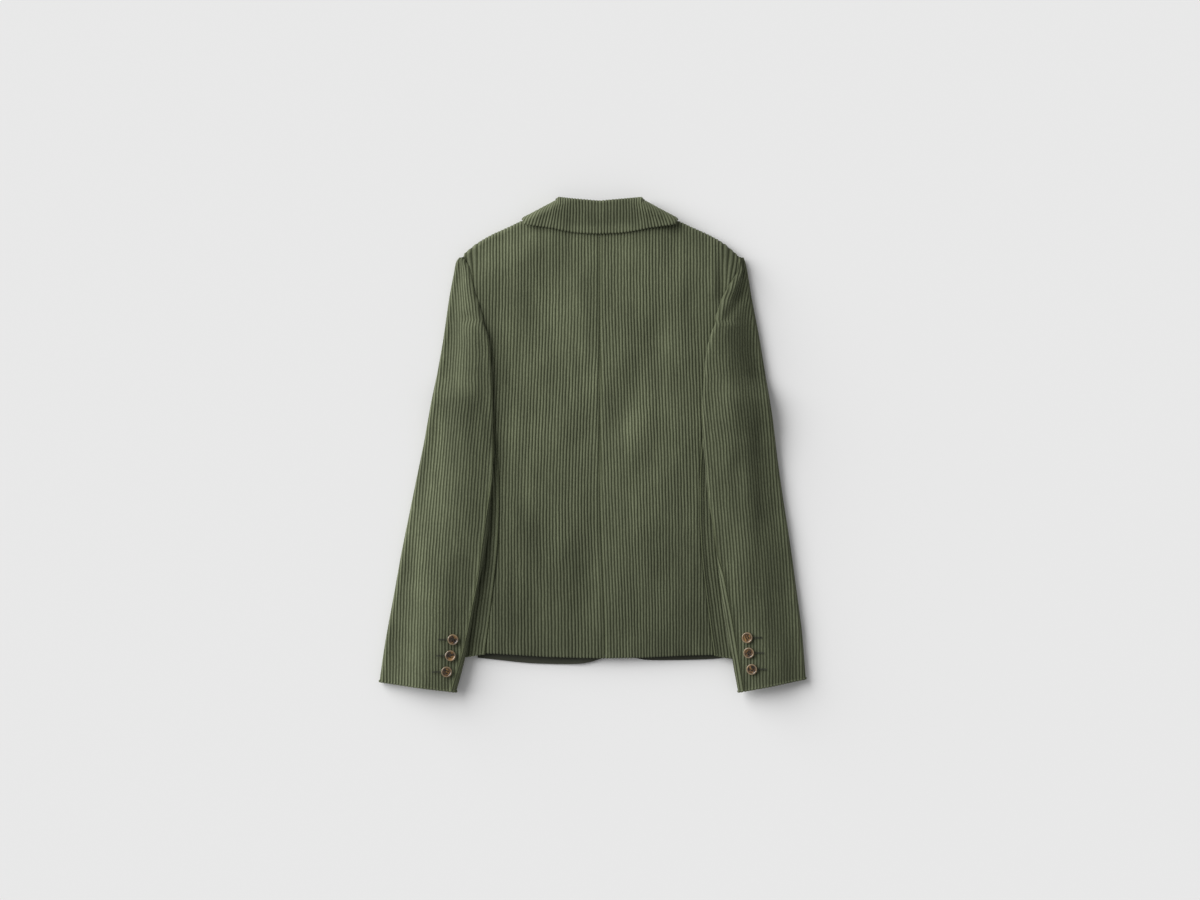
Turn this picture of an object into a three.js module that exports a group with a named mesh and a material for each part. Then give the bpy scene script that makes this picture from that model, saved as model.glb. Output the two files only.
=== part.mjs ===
// Corduroy jacket laid flat with its back up: millimetres, +Z up, +Y towards the collar
import * as THREE from 'three';

// Cloth and seams
const WALL = 2;
const SEAM_GAP = 0.3;
const SLEEVE_GAP = 1.3;
const ARMHOLE_GAP = 0.5;
const WALE_PITCH = 4.4;
const WALE_HEIGHT = 0.8;
const WALE_LEAN = 10;
const HALF_WALE = WALE_PITCH / 2;

// Body
const CENTRE_X = 10.5;
const CENTRE_DRIFT = 7;
const SHOULDER_FOLD = 7;
const FRONT_OVERLAP_RISE = 2.4;
const UNDERARM_Y = 56;
const SEAM_TOP_Y = 150;
const ARMHOLE_OPEN_Y = 171;
const HEM_Y = -296;
const LOBE_TIP = 2;
const ARMHOLE_LAP = 2.4;
const SHOULDER_DOME = 60;
const SIDE_DOME = 90;
const NECK_HALF_WIDTH = 72;
const SHOULDER_START = 80;
const NECK_FOOT_Y = -85;
const NECK_TOP_Y = 315;
const NECK_TOP_HALF = 62;
const FRONT_SHOULDER_DROP = 1;
const LAP_START = 22;
const LAP_FULL = 52;

// Sleeves
const SLEEVE_TOP_Y = 262.4;
const SLEEVE_HEAD_ROLL = 7;
const SLEEVE_HEAD_MIDDLE = 7;
const INNER_FOLD_RADIUS = 4.2;
const INNER_FOLD_RISE = 4.5;
const LEAST_FOLD_RISE = 2.5;
const OUTER_FOLD_HEIGHT = 12;
const OUTER_FOLD_REACH = 6;
const OUTSIDE_DROP = 26;
const BED_INSET = 4;
const ARC_STEPS = 12;
const SPAN_STEPS = 48;
const FAR_STEPS = 24;
const SIDE_STEPS = 60;
const SLEEVE_CROWN = 8;
const CUFF_Y = -343;

// Collar
const COLLAR_ROLL = 3.5;
const COLLAR_FOLD = 9;
const COLLAR_HEIGHT = 27.5;
const COLLAR_EDGE_DROP = 2.2;
const COLLAR_TOP_HALF = 60;
const COLLAR_LOW_HALF = 109.5;
const STAND_HEIGHT = 23.6;
const STAND_FOOT_HEIGHT = 21;
const STAND_HALF = 46;
const COLLAR_TURN = 165;
const COLLAR_TURN_LOW = 90;

// Buttons
const BUTTON_DIAMETER = 15;
const BUTTON_HEIGHT = 3;
const BUTTON_LIFT = 1.2;

const CLOTH_COLOUR = 0x5a6447;
const INSIDE_COLOUR = 0x3f4632;
const BUTTON_COLOUR = 0x6b4a2b;

// Half widths and seams of one side, measured outwards from the centre back
const LEFT = {
  name: 'left',
  sign: -1,
  edge: [{ y: -296, v: 232 }, { y: -60, v: 221 }, { y: 56, v: 226 }, { y: 110, v: 242 }, { y: 200, v: 250 }],
  backSeam: [
    { y: -296, v: 161.5 }, { y: -234, v: 154 }, { y: -150, v: 144.5 }, { y: -70, v: 141.4 },
    { y: 0, v: 144.8 }, { y: 77, v: 154 }, { y: 150, v: 162.6 }, { y: 171, v: 162.8 },
    { y: 203, v: 172.2 }, { y: 223, v: 177.8 }, { y: 244, v: 181 }, { y: 260, v: 190 }],
  sleeveOuter: [
    { y: -343, v: 308 }, { y: -264, v: 296.8 }, { y: -164, v: 280 }, { y: -63, v: 259.7 },
    { y: 38, v: 239.4 }, { y: 139, v: 220.5 }, { y: 206, v: 210.7 }, { y: 240, v: 204.4 },
    { y: 256, v: 200.9 }, { y: 263, v: 196 }],
  sleeveInner: [
    { y: -343, v: 200 }, { y: -280, v: 184 }, { y: -218, v: 172.9 }, { y: -161, v: 161.7 },
    { y: -105, v: 154 }, { y: -1, v: 148.4 }, { y: 74, v: 149.1 }, { y: 134, v: 152.6 },
    { y: 153, v: 155.6 }, { y: 171, v: 162.8 }],
  sleeveSeam: [
    { y: -343, over: 10 }, { y: -200, over: 7 }, { y: -130, over: 9 }, { y: -50, over: 5 },
    { y: 0, over: 1 }, { y: 56, over: -10 }],
  backHem: [
    { v: 0, y: -297.5 }, { v: 75, y: -295.4 }, { v: 161, y: -290.5 },
    { v: 185, y: -294 }, { v: 232, y: -297 }],
  frontHem: [
    { v: -3, y: -298.5 }, { v: 17, y: -304.4 }, { v: 42, y: -306.6 }, { v: 98, y: -305.2 },
    { v: 140, y: -301 }, { v: 178, y: -296.8 }],
  frontEdge: [
    { y: -307, v: 10 }, { y: -297, v: -4 }, { y: -285, v: -11 },
    { y: -250, v: -24 }, { y: -200, v: -30 }],
  buttons: [{ x: -194.5, y: -270.8 }, { x: -198.1, y: -293.2 }, { x: -203.4, y: -315.8 }],
  cuffSlant: 14 / 108,
  neckFoot: -30,
};
const RIGHT = {
  name: 'right',
  sign: 1,
  edge: [{ y: -296, v: 236 }, { y: -60, v: 224 }, { y: 56, v: 229 }, { y: 110, v: 244 }, { y: 200, v: 252 }],
  backSeam: [
    { y: -296, v: 160.5 }, { y: -245, v: 154 }, { y: -150, v: 143 }, { y: -66, v: 140 },
    { y: 0, v: 142.8 }, { y: 77, v: 152.5 }, { y: 150, v: 158.8 }, { y: 171, v: 161 },
    { y: 203, v: 171.5 }, { y: 225, v: 182 }, { y: 244, v: 193 }, { y: 260, v: 194 }],
  sleeveOuter: [
    { y: -343, v: 287.5 }, { y: -264, v: 281.4 }, { y: -164, v: 269.5 }, { y: -63, v: 254.1 },
    { y: 38, v: 240.1 }, { y: 139, v: 224.7 }, { y: 206, v: 212.1 }, { y: 240, v: 206.6 },
    { y: 256, v: 203 }, { y: 263, v: 200.5 }],
  sleeveInner: [
    { y: -343, v: 192.5 }, { y: -273, v: 178.5 }, { y: -217, v: 169.4 }, { y: -144, v: 161.7 },
    { y: -105, v: 156.8 }, { y: -49, v: 148.4 }, { y: 35, v: 141.4 }, { y: 118, v: 145.6 },
    { y: 153, v: 153.5 }, { y: 171, v: 161 }],
  sleeveSeam: [
    { y: -343, over: 10 }, { y: -250, over: 13 }, { y: -189, over: 10 }, { y: -150, over: 4 },
    { y: -88, over: 1 }, { y: 0, over: -8 }, { y: 56, over: -14 }],
  backHem: [
    { v: 0, y: -297.5 }, { v: 42, y: -296.8 }, { v: 160, y: -292.6 },
    { v: 180, y: -296 }, { v: 236, y: -298 }],
  frontHem: [
    { v: 44, y: -297 }, { v: 60, y: -300.4 }, { v: 98, y: -301 },
  { v: 154, y: -299.6 }, { v: 182, y: -296.8 }],
  frontEdge: [
    { y: -301, v: 58 }, { y: -296, v: 42 }, { y: -285, v: 28 },
    { y: -250, v: 8 }, { y: -200, v: 0 }],
  buttons: [{ x: 215.7, y: -268 }, { x: 218, y: -289.2 }, { x: 222.2, y: -312.2 }],
  cuffSlant: 18 / 95,
  neckFoot: 0,
};

// Lines that both sides share
const SHOULDER_LINE = [
  { v: 0, y: 312 }, { v: 45, y: 317 }, { v: 75, y: 325 }, { v: 109, y: 312.6 }, { v: 128, y: 303.8 },
  { v: 153, y: 292.6 }, { v: 172, y: 281.4 }, { v: 186, y: 270.2 }, { v: 192, y: 264.6 }, { v: 200, y: 256 }];
const ARMHOLE_UNDER_SLEEVE = [
  { y: 56, v: 224 }, { y: 66, v: 203 }, { y: 90, v: 184 },
  { y: 120, v: 172 }, { y: 150, v: 165 }, { y: 171, v: 162.8 }];
const ARMHOLE_FRONT = [
  { y: 56, v: 224 }, { y: 66, v: 210 }, { y: 90, v: 190 }, { y: 120, v: 176 }, { y: 150, v: 170 },
  { y: 200, v: 174 }, { y: 232, v: 184 }, { y: 252, v: 198 }, { y: 264, v: 200 }];
const FRONT_SIDE_SEAM = [{ y: -296, v: 172 }, { y: -60, v: 160 }, { y: 56, v: 165 }, { y: 150, v: 166.5 }];
const SLEEVE_FRONT_SEAM = [
  { y: -343, under: 26 }, { y: -150, under: 22 },
  { y: -50, under: 16 }, { y: 56, under: 12 }];
const CROWN_HEIGHT = [
  { y: -300, z: 11 }, { y: -200, z: 14 }, { y: -60, z: 16 },
  { y: 60, z: 19 }, { y: 180, z: 22 }, { y: 320, z: 21 }];
const RIM_HEIGHT = [{ y: -300, z: 8.5 }, { y: -60, z: 10 }, { y: 60, z: 12 }, { y: 200, z: 14 }];

// Collar lines from the centre back (s 0) to the fold at the neck's side (s 1)
const COLLAR_ROLL_LINE = [{ s: 0, y: 340 }, { s: 0.6, y: 342.5 }, { s: 1, y: 345.2 }];
const COLLAR_EDGE_LINE = [
  { s: 0, y: 294.4 }, { s: 0.31, y: 296 }, { s: 0.64, y: 302.4 },
  { s: 0.9, y: 312.5 }, { s: 1, y: 315.5 }];
const COLLAR_FRACTIONS = [-1, -0.5, 0, 0.2, 0.4, 0.6, 0.8, 1];
const COLLAR_FOLD_TURNS = [0.25, 0.5, 0.75, 1];

// Soft ridges and troughs, from one end to the other
const BODY_FOLDS = [
  { x0: -8, y0: 225, x1: -14, y1: 130, wide: 26, rise: 1.6 },
  { x0: 6, y0: 80, x1: -36, y1: 20, wide: 22, rise: 1.6 },
  { x0: 76, y0: 45, x1: 38, y1: -35, wide: 24, rise: 1.6 },
  { x0: 90, y0: 155, x1: 43, y1: 38, wide: 20, rise: -1.8 },
  { x0: -78, y0: 190, x1: -84, y1: 140, wide: 24, rise: -1.4 },
  { x0: -3, y0: -155, x1: -22, y1: -225, wide: 20, rise: -1.4 },
  { x0: 178, y0: 280, x1: 181, y1: 205, wide: 7, rise: -1.6 }];
const SLEEVE_FOLDS = [
  { x0: -232, y0: -30, x1: -242, y1: -210, wide: 20, rise: 2.4 },
  { x0: -176, y0: 178, x1: -152, y1: 172, wide: 9, rise: -2 },
  { x0: -170, y0: 154, x1: -166, y1: 140, wide: 14, rise: 2 },
  { x0: 214, y0: 222, x1: 180, y1: 176, wide: 10, rise: -2.4 },
  { x0: 202, y0: -30, x1: 198, y1: -150, wide: 14, rise: -1.8 },
  { x0: 235, y0: -50, x1: 231, y1: -210, wide: 16, rise: -1.6 },
  { x0: 216, y0: 0, x1: 218, y1: -60, wide: 14, rise: 1.8 }];

// Rows of cloth from the top down
const SLEEVE_ROWS = [
  262, 260.5, 257, 250, 238, 222, 205, 188, 171, 150, 120, 90, 66, 56, 5, -50, -110, -170, -230, -285, -343];
const SIDE_ROWS = [150, 120, 90, 66, 53, 5, -50, -110, -170, -230, -296];
const BACK_FRACTIONS = [1, 0.95, 0.88, 0.8, 0.71, 0.6, 0.48, 0.36, 0.24, 0.12, 0];
const ROLL_ANGLES = [-90, -45, 0, 45];
const FRONT_FRACTIONS = [1, 0.95, 0.88, 0.8, 0.7, 0.6, 0.5, 0.4, 0.3, 0.2, 0.12, 0.06, 0.02, 0];
const STAND_FRACTIONS = [1, 0.6, 0.4, 0.2, 0];

// Columns of cloth: how many follow the wales, and distances along the cloth where they don't
const BACK_COLUMNS = 94;
const BACK_INNER_STEP = 9;
const SLEEVE_COLUMNS = 78;
const SLEEVE_FLOOR_COLUMNS = [-46, -28, -17, -11, -5.5];
const SLEEVE_INNER_COLUMNS = [
  0, 1, 2, 3, 4, 5, 7, 9, 13, 19, 27, 35, 43, 47, 50, 53, 56, 59, 62, 65, 68, 71, 74, 78];
const UNDER_SLEEVE_BACK_COLUMNS = [0, 5, 10, 15, 20, 26, 34, 46, 60];
const UNDER_SLEEVE_FRONT_COLUMNS = [34, 22, 12, 5, 0];
const SIDE_COLUMNS = 15;
const SIDE_SMOOTH = 40;
const SIDE_BACK_COLUMNS = [34, 22, 14, 8, 4, 0];
const SIDE_FRONT_COLUMNS = [0, 3, 6, 10, 16, 30];
const FRONT_COLUMNS = 13;
const COLLAR_COLUMNS = 47;
const STAND_COLUMNS = 15;

function smooth(from, to, value) {
  const t = THREE.MathUtils.clamp((value - from) / (to - from), 0, 1);
  return t * t * (3 - 2 * t);
}

// Smooth curve through the rows of a table
function curve(table, along, value) {
  const rows = [...table].sort((a, b) => a[along] - b[along]);
  const xs = rows.map((row) => row[along]);
  const ys = rows.map((row) => row[value]);
  const last = xs.length - 1;
  const slopes = xs.map((x, i) => {
    const a = Math.max(i - 1, 0);
    const b = Math.min(i + 1, last);
    return (ys[b] - ys[a]) / (xs[b] - xs[a]);
  });
  return (x) => {
    if (x <= xs[0] || x >= xs[last]) {
      return x <= xs[0] ? ys[0] : ys[last];
    }
    let i = 0;
    while (xs[i + 1] < x) {
      i += 1;
    }
    const w = xs[i + 1] - xs[i];
    const t = (x - xs[i]) / w;
    const a = (2 * t ** 3 - 3 * t ** 2 + 1) * ys[i] + (t ** 3 - 2 * t ** 2 + t) * w * slopes[i];
    const b = (3 * t ** 2 - 2 * t ** 3) * ys[i + 1] + (t ** 3 - t ** 2) * w * slopes[i + 1];
    return a + b;
  };
}

function sideLines(table) {
  return {
    name: table.name,
    sign: table.sign,
    buttons: table.buttons,
    cuffSlant: table.cuffSlant,
    neckFoot: table.neckFoot,
    edge: curve(table.edge, 'y', 'v'),
    backSeam: curve(table.backSeam, 'y', 'v'),
    sleeveOuter: curve(table.sleeveOuter, 'y', 'v'),
    sleeveInner: curve(table.sleeveInner, 'y', 'v'),
    sleeveSeam: curve(table.sleeveSeam, 'y', 'over'),
    backHem: curve(table.backHem, 'v', 'y'),
    frontHem: curve(table.frontHem, 'v', 'y'),
    frontEdge: curve(table.frontEdge, 'y', 'v'),
    sections: new Map(),
  };
}

const shoulderLine = curve(SHOULDER_LINE, 'v', 'y');
const armholeUnderSleeve = curve(ARMHOLE_UNDER_SLEEVE, 'y', 'v');
const armholeFront = curve(ARMHOLE_FRONT, 'y', 'v');
const frontSideSeam = curve(FRONT_SIDE_SEAM, 'y', 'v');
const sleeveFrontSeam = curve(SLEEVE_FRONT_SEAM, 'y', 'under');
const crownHeight = curve(CROWN_HEIGHT, 'y', 'z');
const rimHeight = curve(RIM_HEIGHT, 'y', 'z');

// The centre back seam drifts to the right towards the hem
function backX(side, v, y) {
  return CENTRE_X + side.sign * v + CENTRE_DRIFT * smooth(-50, HEM_Y, y) * (1 - smooth(0, 140, v));
}

function foldRise(folds, x, y) {
  let rise = 0;
  for (const fold of folds) {
    const dx = fold.x1 - fold.x0;
    const dy = fold.y1 - fold.y0;
    const along = ((x - fold.x0) * dx + (y - fold.y0) * dy) / (dx * dx + dy * dy);
    const t = THREE.MathUtils.clamp(along, 0, 1);
    const away = Math.hypot(x - fold.x0 - t * dx, y - fold.y0 - t * dy);
    rise += fold.rise * Math.exp(-((away / fold.wide) ** 2));
  }
  return rise;
}

// Height of the body's upper surface, round over its side fold
function bodyHeight(side, v, y) {
  const inFromSide = side.edge(y) - v;
  const inFromShoulder = THREE.MathUtils.lerp(SHOULDER_DOME, shoulderLine(v) - y, smooth(50, 110, v));
  const rim = rimHeight(y);
  const dome = smooth(0, SIDE_DOME, inFromSide) * smooth(0, SHOULDER_DOME, inFromShoulder);
  const full = rim + (crownHeight(y) - rim) * dome + foldRise(BODY_FOLDS, CENTRE_X + side.sign * v, y) * dome;
  const reach = THREE.MathUtils.clamp(inFromSide / (full / 2), 0, 1);
  return (full / 2) * (1 + Math.sqrt(1 - (1 - reach) ** 2));
}

// Closed cloth wall between an outer grid and a plainer inner one, joined along every edge
function clothSolid(outer, inner, columns, split = -1) {
  const points = [];
  const keys = new Map();
  const indexOf = (p, layer) => {
    const key = `${layer} ${p.x.toFixed(3)} ${p.y.toFixed(3)} ${p.z.toFixed(3)}`;
    if (!keys.has(key)) {
      keys.set(key, points.length);
      points.push(p);
    }
    return keys.get(key);
  };
  const o = outer.map((row) => row.map((p) => indexOf(p, 'outer')));
  const n = inner.map((row) => row.map((p) => indexOf(p, 'inner')));
  const faces = [];
  const face = (a, b, c) => {
    if (a !== b && b !== c && a !== c) {
      faces.push([a, b, c]);
    }
  };
  const quad = (a, b, c, d) => {
    face(a, b, c);
    face(a, c, d);
  };
  const lastRow = o.length - 1;
  const lastColumn = o[0].length - 1;
  const lastInner = columns.length - 1;
  for (let j = 0; j < lastRow; j += 1) {
    for (let i = 0; i < lastColumn; i += 1) {
      if (i !== split) {
        quad(o[j][i], o[j][i + 1], o[j + 1][i + 1], o[j + 1][i]);
      }
    }
    for (let k = 0; k < lastInner; k += 1) {
      if (columns[k] !== split) {
        quad(n[j][k], n[j + 1][k], n[j + 1][k + 1], n[j][k + 1]);
      }
    }
    quad(o[j][0], o[j + 1][0], n[j + 1][0], n[j][0]);
    quad(o[j + 1][lastColumn], o[j][lastColumn], n[j][lastInner], n[j + 1][lastInner]);
    if (split >= 0 && o[j][split] !== o[j][split + 1]) {
      quad(o[j + 1][split], o[j][split], n[j][split], n[j + 1][split]);
      quad(o[j][split + 1], o[j + 1][split + 1], n[j + 1][split + 1], n[j][split + 1]);
    }
  }
  for (const [j, turn] of [[0, 1], [lastRow, -1]]) {
    const put = (a, b, c) => (turn > 0 ? face(a, b, c) : face(a, c, b));
    for (let k = 0; k < lastInner; k += 1) {
      const a = columns[k];
      const b = columns[k + 1];
      const middle = Math.floor((a + b) / 2);
      if (a !== split) {
        for (let i = a; i < middle; i += 1) {
          put(o[j][i + 1], o[j][i], n[j][k]);
        }
        put(n[j][k], n[j][k + 1], o[j][middle]);
        for (let i = middle; i < b; i += 1) {
          put(o[j][i + 1], o[j][i], n[j][k + 1]);
        }
      }
    }
  }
  let volume = 0;
  for (const [a, b, c] of faces) {
    volume += points[a].dot(points[b].clone().cross(points[c]));
  }
  const geometry = new THREE.BufferGeometry();
  geometry.setAttribute('position', new THREE.Float32BufferAttribute(points.flatMap((p) => p.toArray()), 3));
  geometry.setIndex(faces.flatMap(([a, b, c]) => (volume > 0 ? [a, b, c] : [a, c, b])));
  geometry.computeVertexNormals();
  return geometry;
}

// Outer and inner grids of a surface: rows by columns, with raised wales where asked
function wallFromSurface(rows, columnCount, surface, inner, waleAt, facing, split = -1) {
  const step = 0.4;
  const outerGrid = [];
  const innerGrid = [];
  for (const row of rows) {
    const outerRow = [];
    const innerPoints = [];
    for (let i = 0; i < columnCount; i += 1) {
      const { at, a, b, stepB = step } = surface(row, i);
      const p = at(a, b);
      const da = at(a + step, b).sub(at(a - step, b));
      const db = at(a, b + stepB).sub(at(a, b - stepB));
      const normal = da.cross(db).normalize().multiplyScalar(facing);
      const wale = waleAt(row, i);
      outerRow.push(p.clone().addScaledVector(normal, wale));
      innerPoints.push(p.clone().addScaledVector(normal, -WALL));
    }
    outerGrid.push(outerRow);
    innerGrid.push(inner.map((i) => innerPoints[i]));
  }
  if (split >= 0) {
    for (let j = 0; j < rows.length; j += 1) {
      if (outerGrid[j][split].distanceTo(outerGrid[j][split + 1]) < 0.01) {
        outerGrid[j][split + 1].copy(outerGrid[j][split]);
        innerGrid[j][split + 1].copy(innerGrid[j][split]);
      }
    }
  }
  return clothSolid(outerGrid, innerGrid, inner, split);
}

function cloth(name, geometry, colour = CLOTH_COLOUR) {
  const material = new THREE.MeshStandardMaterial({ color: colour, roughness: 0.95, metalness: 0 });
  const mesh = new THREE.Mesh(geometry, material);
  mesh.name = name;
  return mesh;
}

// Back panel: wales run down from the shoulder and lean into the centre seam
function backEdge(side, y) {
  const armhole = smooth(SEAM_TOP_Y, ARMHOLE_OPEN_Y, y);
  return side.backSeam(y) - SEAM_GAP / 2 + ARMHOLE_LAP * armhole;
}

function backPanel(side) {
  const lean = (y) => WALE_LEAN * smooth(-130, 250, y);
  const columnAt = (i, y) => {
    const edge = backEdge(side, y);
    const v = i === 0 ? SEAM_GAP / 2 : i * HALF_WALE - lean(y);
    return THREE.MathUtils.clamp(v, SEAM_GAP / 2, edge);
  };
  const topOf = (v) => shoulderLine(v) - SHOULDER_FOLD * smooth(NECK_HALF_WIDTH, SHOULDER_START, v);
  const place = (v, down) => {
    const hem = side.backHem(v);
    return hem + (topOf(v) - hem) * (1 - down);
  };
  const at = (v, down) => {
    const y = place(v, Math.max(down, 0));
    const x = backX(side, v, y);
    const high = bodyHeight(side, v, y);
    if (down >= 0) {
      return new THREE.Vector3(x, y, high);
    }
    const turn = THREE.MathUtils.degToRad(90 + 180 * down * smooth(NECK_HALF_WIDTH, SHOULDER_START, v));
    return new THREE.Vector3(x, y + SHOULDER_FOLD * Math.cos(turn), (high / 2) * (1 + Math.sin(turn)));
  };
  const rows = [
    ...ROLL_ANGLES.map((angle) => (angle - 90) / 180),
    ...BACK_FRACTIONS.map((fraction) => 1 - fraction),
  ];
  const surface = (row, i) => {
    const down = Math.max(row, 0);
    let v = columnAt(i, 100);
    for (let round = 0; round < 6; round += 1) {
      v = columnAt(i, place(v, down));
    }
    return { at, a: v, b: v < NECK_HALF_WIDTH + 1 ? down : row, stepB: 0.004 };
  };
  const waleAt = (row, i) => {
    const { a } = surface(row, i);
    const y = place(a, Math.max(row, 0));
    const fade = smooth(0.5, 4, backEdge(side, y) - a) * smooth(0.3, 2, a);
    return i % 2 === 1 && row > -1 ? WALE_HEIGHT * fade : 0;
  };
  const inner = [];
  for (let i = 0; i < BACK_COLUMNS; i += BACK_INNER_STEP) {
    inner.push(i);
  }
  inner.push(BACK_COLUMNS - 1);
  return wallFromSurface(rows, BACK_COLUMNS, surface, [...new Set(inner)], waleAt, -side.sign);
}

// Sections: points outwards and up, with the length along them
function measured(points) {
  let length = 0;
  const lengths = points.map((p, i) => {
    length += i === 0 ? 0 : Math.hypot(p[0] - points[i - 1][0], p[1] - points[i - 1][1]);
    return length;
  });
  return { points, lengths, total: length };
}

function pointAlong(line, length) {
  const want = THREE.MathUtils.clamp(length, 0, line.total);
  let i = 0;
  while (i < line.points.length - 2 && line.lengths[i + 1] < want) {
    i += 1;
  }
  const t = (want - line.lengths[i]) / Math.max(line.lengths[i + 1] - line.lengths[i], 1e-9);
  const p = line.points[i];
  const q = line.points[i + 1];
  return [p[0] + (q[0] - p[0]) * t, p[1] + (q[1] - p[1]) * t];
}

// Bed under a sleeve: the body, then a soft drop to the floor outside it
function sleeveBed(side, v, y) {
  const edge = side.edge(y);
  const gap = SLEEVE_GAP + (ARMHOLE_GAP - SLEEVE_GAP) * smooth(SEAM_TOP_Y, ARMHOLE_OPEN_Y, y);
  const over = Math.min(v, edge - BED_INSET);
  const high = bodyHeight(side, over, y) + gap;
  return high * (1 - smooth(edge - 1, edge + OUTSIDE_DROP, v)) * (v > edge ? 1 - smooth(60, 100, y) : 1);
}

function sleeveSection(side, y) {
  const key = y.toFixed(3);
  if (side.sections.has(key)) {
    return side.sections.get(key);
  }
  const head = THREE.MathUtils.clamp((SLEEVE_TOP_Y - y) / SLEEVE_HEAD_ROLL, 0, 1);
  const squash = Math.max(0.3, Math.sqrt(1 - (1 - head) ** 2));
  const outerV = side.sleeveOuter(y);
  const open = y > ARMHOLE_OPEN_Y;
  const innerV = open ? side.backSeam(y) : side.sleeveInner(y);
  const armV = y > UNDERARM_Y ? armholeUnderSleeve(y) : side.edge(y) - 2;
  const overhang = open ? 0 : Math.max(armV - innerV, 0);
  const turned = Math.acos(1 - Math.min(overhang / INNER_FOLD_RADIUS, 1));
  const width = outerV - innerV;
  const bed = sleeveBed(side, innerV + Math.min(overhang, INNER_FOLD_RADIUS), y);
  const middle = bed + INNER_FOLD_RADIUS * Math.sin(turned);
  const innerReach = Math.min(INNER_FOLD_RADIUS + 1, width * 0.35);
  const freeRise = THREE.MathUtils.lerp(LEAST_FOLD_RISE, INNER_FOLD_RISE, smooth(250, 171, y));
  const innerRise = freeRise * (open ? Math.max(squash, 0.5) : 1);
  const outerReach = Math.min(OUTER_FOLD_REACH, width * 0.4);
  const lowOuter = y > 60 ? sleeveBed(side, outerV - outerReach, y) * (1 - smooth(60, 100, y))
    : sleeveBed(side, outerV - outerReach, y);
  const floorRise = SLEEVE_HEAD_MIDDLE * (1 - squash);
  const outerLow = lowOuter + floorRise;
  const outerHigh = lowOuter + SLEEVE_HEAD_MIDDLE + (OUTER_FOLD_HEIGHT - SLEEVE_HEAD_MIDDLE) * squash;
  const outerMiddle = (outerLow + outerHigh) / 2;

  // Over the top, from the outer fold to the inner one and back along the bed
  const over = [];
  for (let k = 0; k <= ARC_STEPS; k += 1) {
    const turn = (k / ARC_STEPS) * (Math.PI / 2);
    const z = outerMiddle + (outerHigh - outerMiddle) * Math.sin(turn);
    over.push([outerV - outerReach * (1 - Math.cos(turn)), z]);
  }
  const fromV = outerV - outerReach;
  const toV = innerV + innerReach;
  const innerHigh = middle + innerRise;
  const crown = SLEEVE_CROWN * smooth(20, 110, width);
  for (let k = 1; k <= SPAN_STEPS; k += 1) {
    const f = k / SPAN_STEPS;
    const v = fromV + (toV - fromV) * f;
    const rise = foldRise(SLEEVE_FOLDS, CENTRE_X + side.sign * v, y) * Math.sin(Math.PI * f);
    const arch = crown * Math.sin(Math.PI * f) ** 2;
    over.push([v, outerHigh + (innerHigh - outerHigh) * smooth(0, 1, f) + arch + rise]);
  }
  for (let k = 1; k <= ARC_STEPS; k += 1) {
    const turn = (1 - k / ARC_STEPS) * (Math.PI / 2);
    over.push([innerV + innerReach * (1 - Math.cos(turn)), middle + innerRise * Math.sin(turn)]);
  }
  const foldLength = measured(over).total;
  for (let k = 1; k <= ARC_STEPS && turned > 0.02; k += 1) {
    const turn = (k / ARC_STEPS) * turned;
    const z = middle - INNER_FOLD_RADIUS * Math.sin(turn);
    over.push([innerV + INNER_FOLD_RADIUS * (1 - Math.cos(turn)), z]);
  }
  if (overhang > INNER_FOLD_RADIUS) {
    for (let k = 1; k <= FAR_STEPS; k += 1) {
      const v = innerV + INNER_FOLD_RADIUS + (overhang - INNER_FOLD_RADIUS) * (k / FAR_STEPS);
      over.push([v, sleeveBed(side, v, y)]);
    }
  }

  // Under the outer fold, along the floor to the armhole or up to the body's edge
  const under = [];
  for (let k = 0; k <= ARC_STEPS; k += 1) {
    const turn = (k / ARC_STEPS) * (Math.PI / 2);
    const z = outerMiddle - (outerMiddle - outerLow) * Math.sin(turn);
    under.push([outerV - outerReach * (1 - Math.cos(turn)), z]);
  }
  const frontV = y > UNDERARM_Y ? armholeFront(y) + SEAM_GAP / 2 : armV;
  const endV = Math.min(frontV, outerV - outerReach - 0.5);
  for (let k = 1; k <= FAR_STEPS; k += 1) {
    const v = outerV - outerReach + (endV - outerV + outerReach) * (k / FAR_STEPS);
    const share = (1 - smooth(56, 70, y)) * (k / FAR_STEPS);
    const low = y > UNDERARM_Y
      ? THREE.MathUtils.lerp(lowOuter, sleeveBed(side, v, UNDERARM_Y), share)
      : sleeveBed(side, v, y);
    under.push([v, low + floorRise]);
  }
  const section = { over: measured(over), under: measured(under), foldLength, innerV };
  side.sections.set(key, section);
  return section;
}

// Seam places along a sleeve section, counted from the outer fold
function sleeveSeams(side, y) {
  const section = sleeveSection(side, y);
  const low = sleeveSection(side, Math.min(y, UNDERARM_Y));
  const lowOver = side.sleeveSeam(Math.min(y, UNDERARM_Y));
  const lowFront = Math.min(sleeveFrontSeam(y) + OUTER_FOLD_REACH, low.under.total - 1);
  if (y <= UNDERARM_Y) {
    return { back: section.foldLength - lowOver, front: lowFront, section };
  }
  const top = sleeveSection(side, SEAM_TOP_Y);
  const t = THREE.MathUtils.clamp((y - UNDERARM_Y) / (SEAM_TOP_Y - UNDERARM_Y), 0, 1);
  const topOver = top.foldLength - top.over.total + LOBE_TIP;
  const front = lowFront + (top.under.total - LOBE_TIP - lowFront) * t;
  return {
    back: Math.min(section.foldLength - lowOver - (topOver - lowOver) * t, section.over.total - LOBE_TIP),
    front: Math.min(front, section.under.total - LOBE_TIP),
    section,
  };
}

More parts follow.
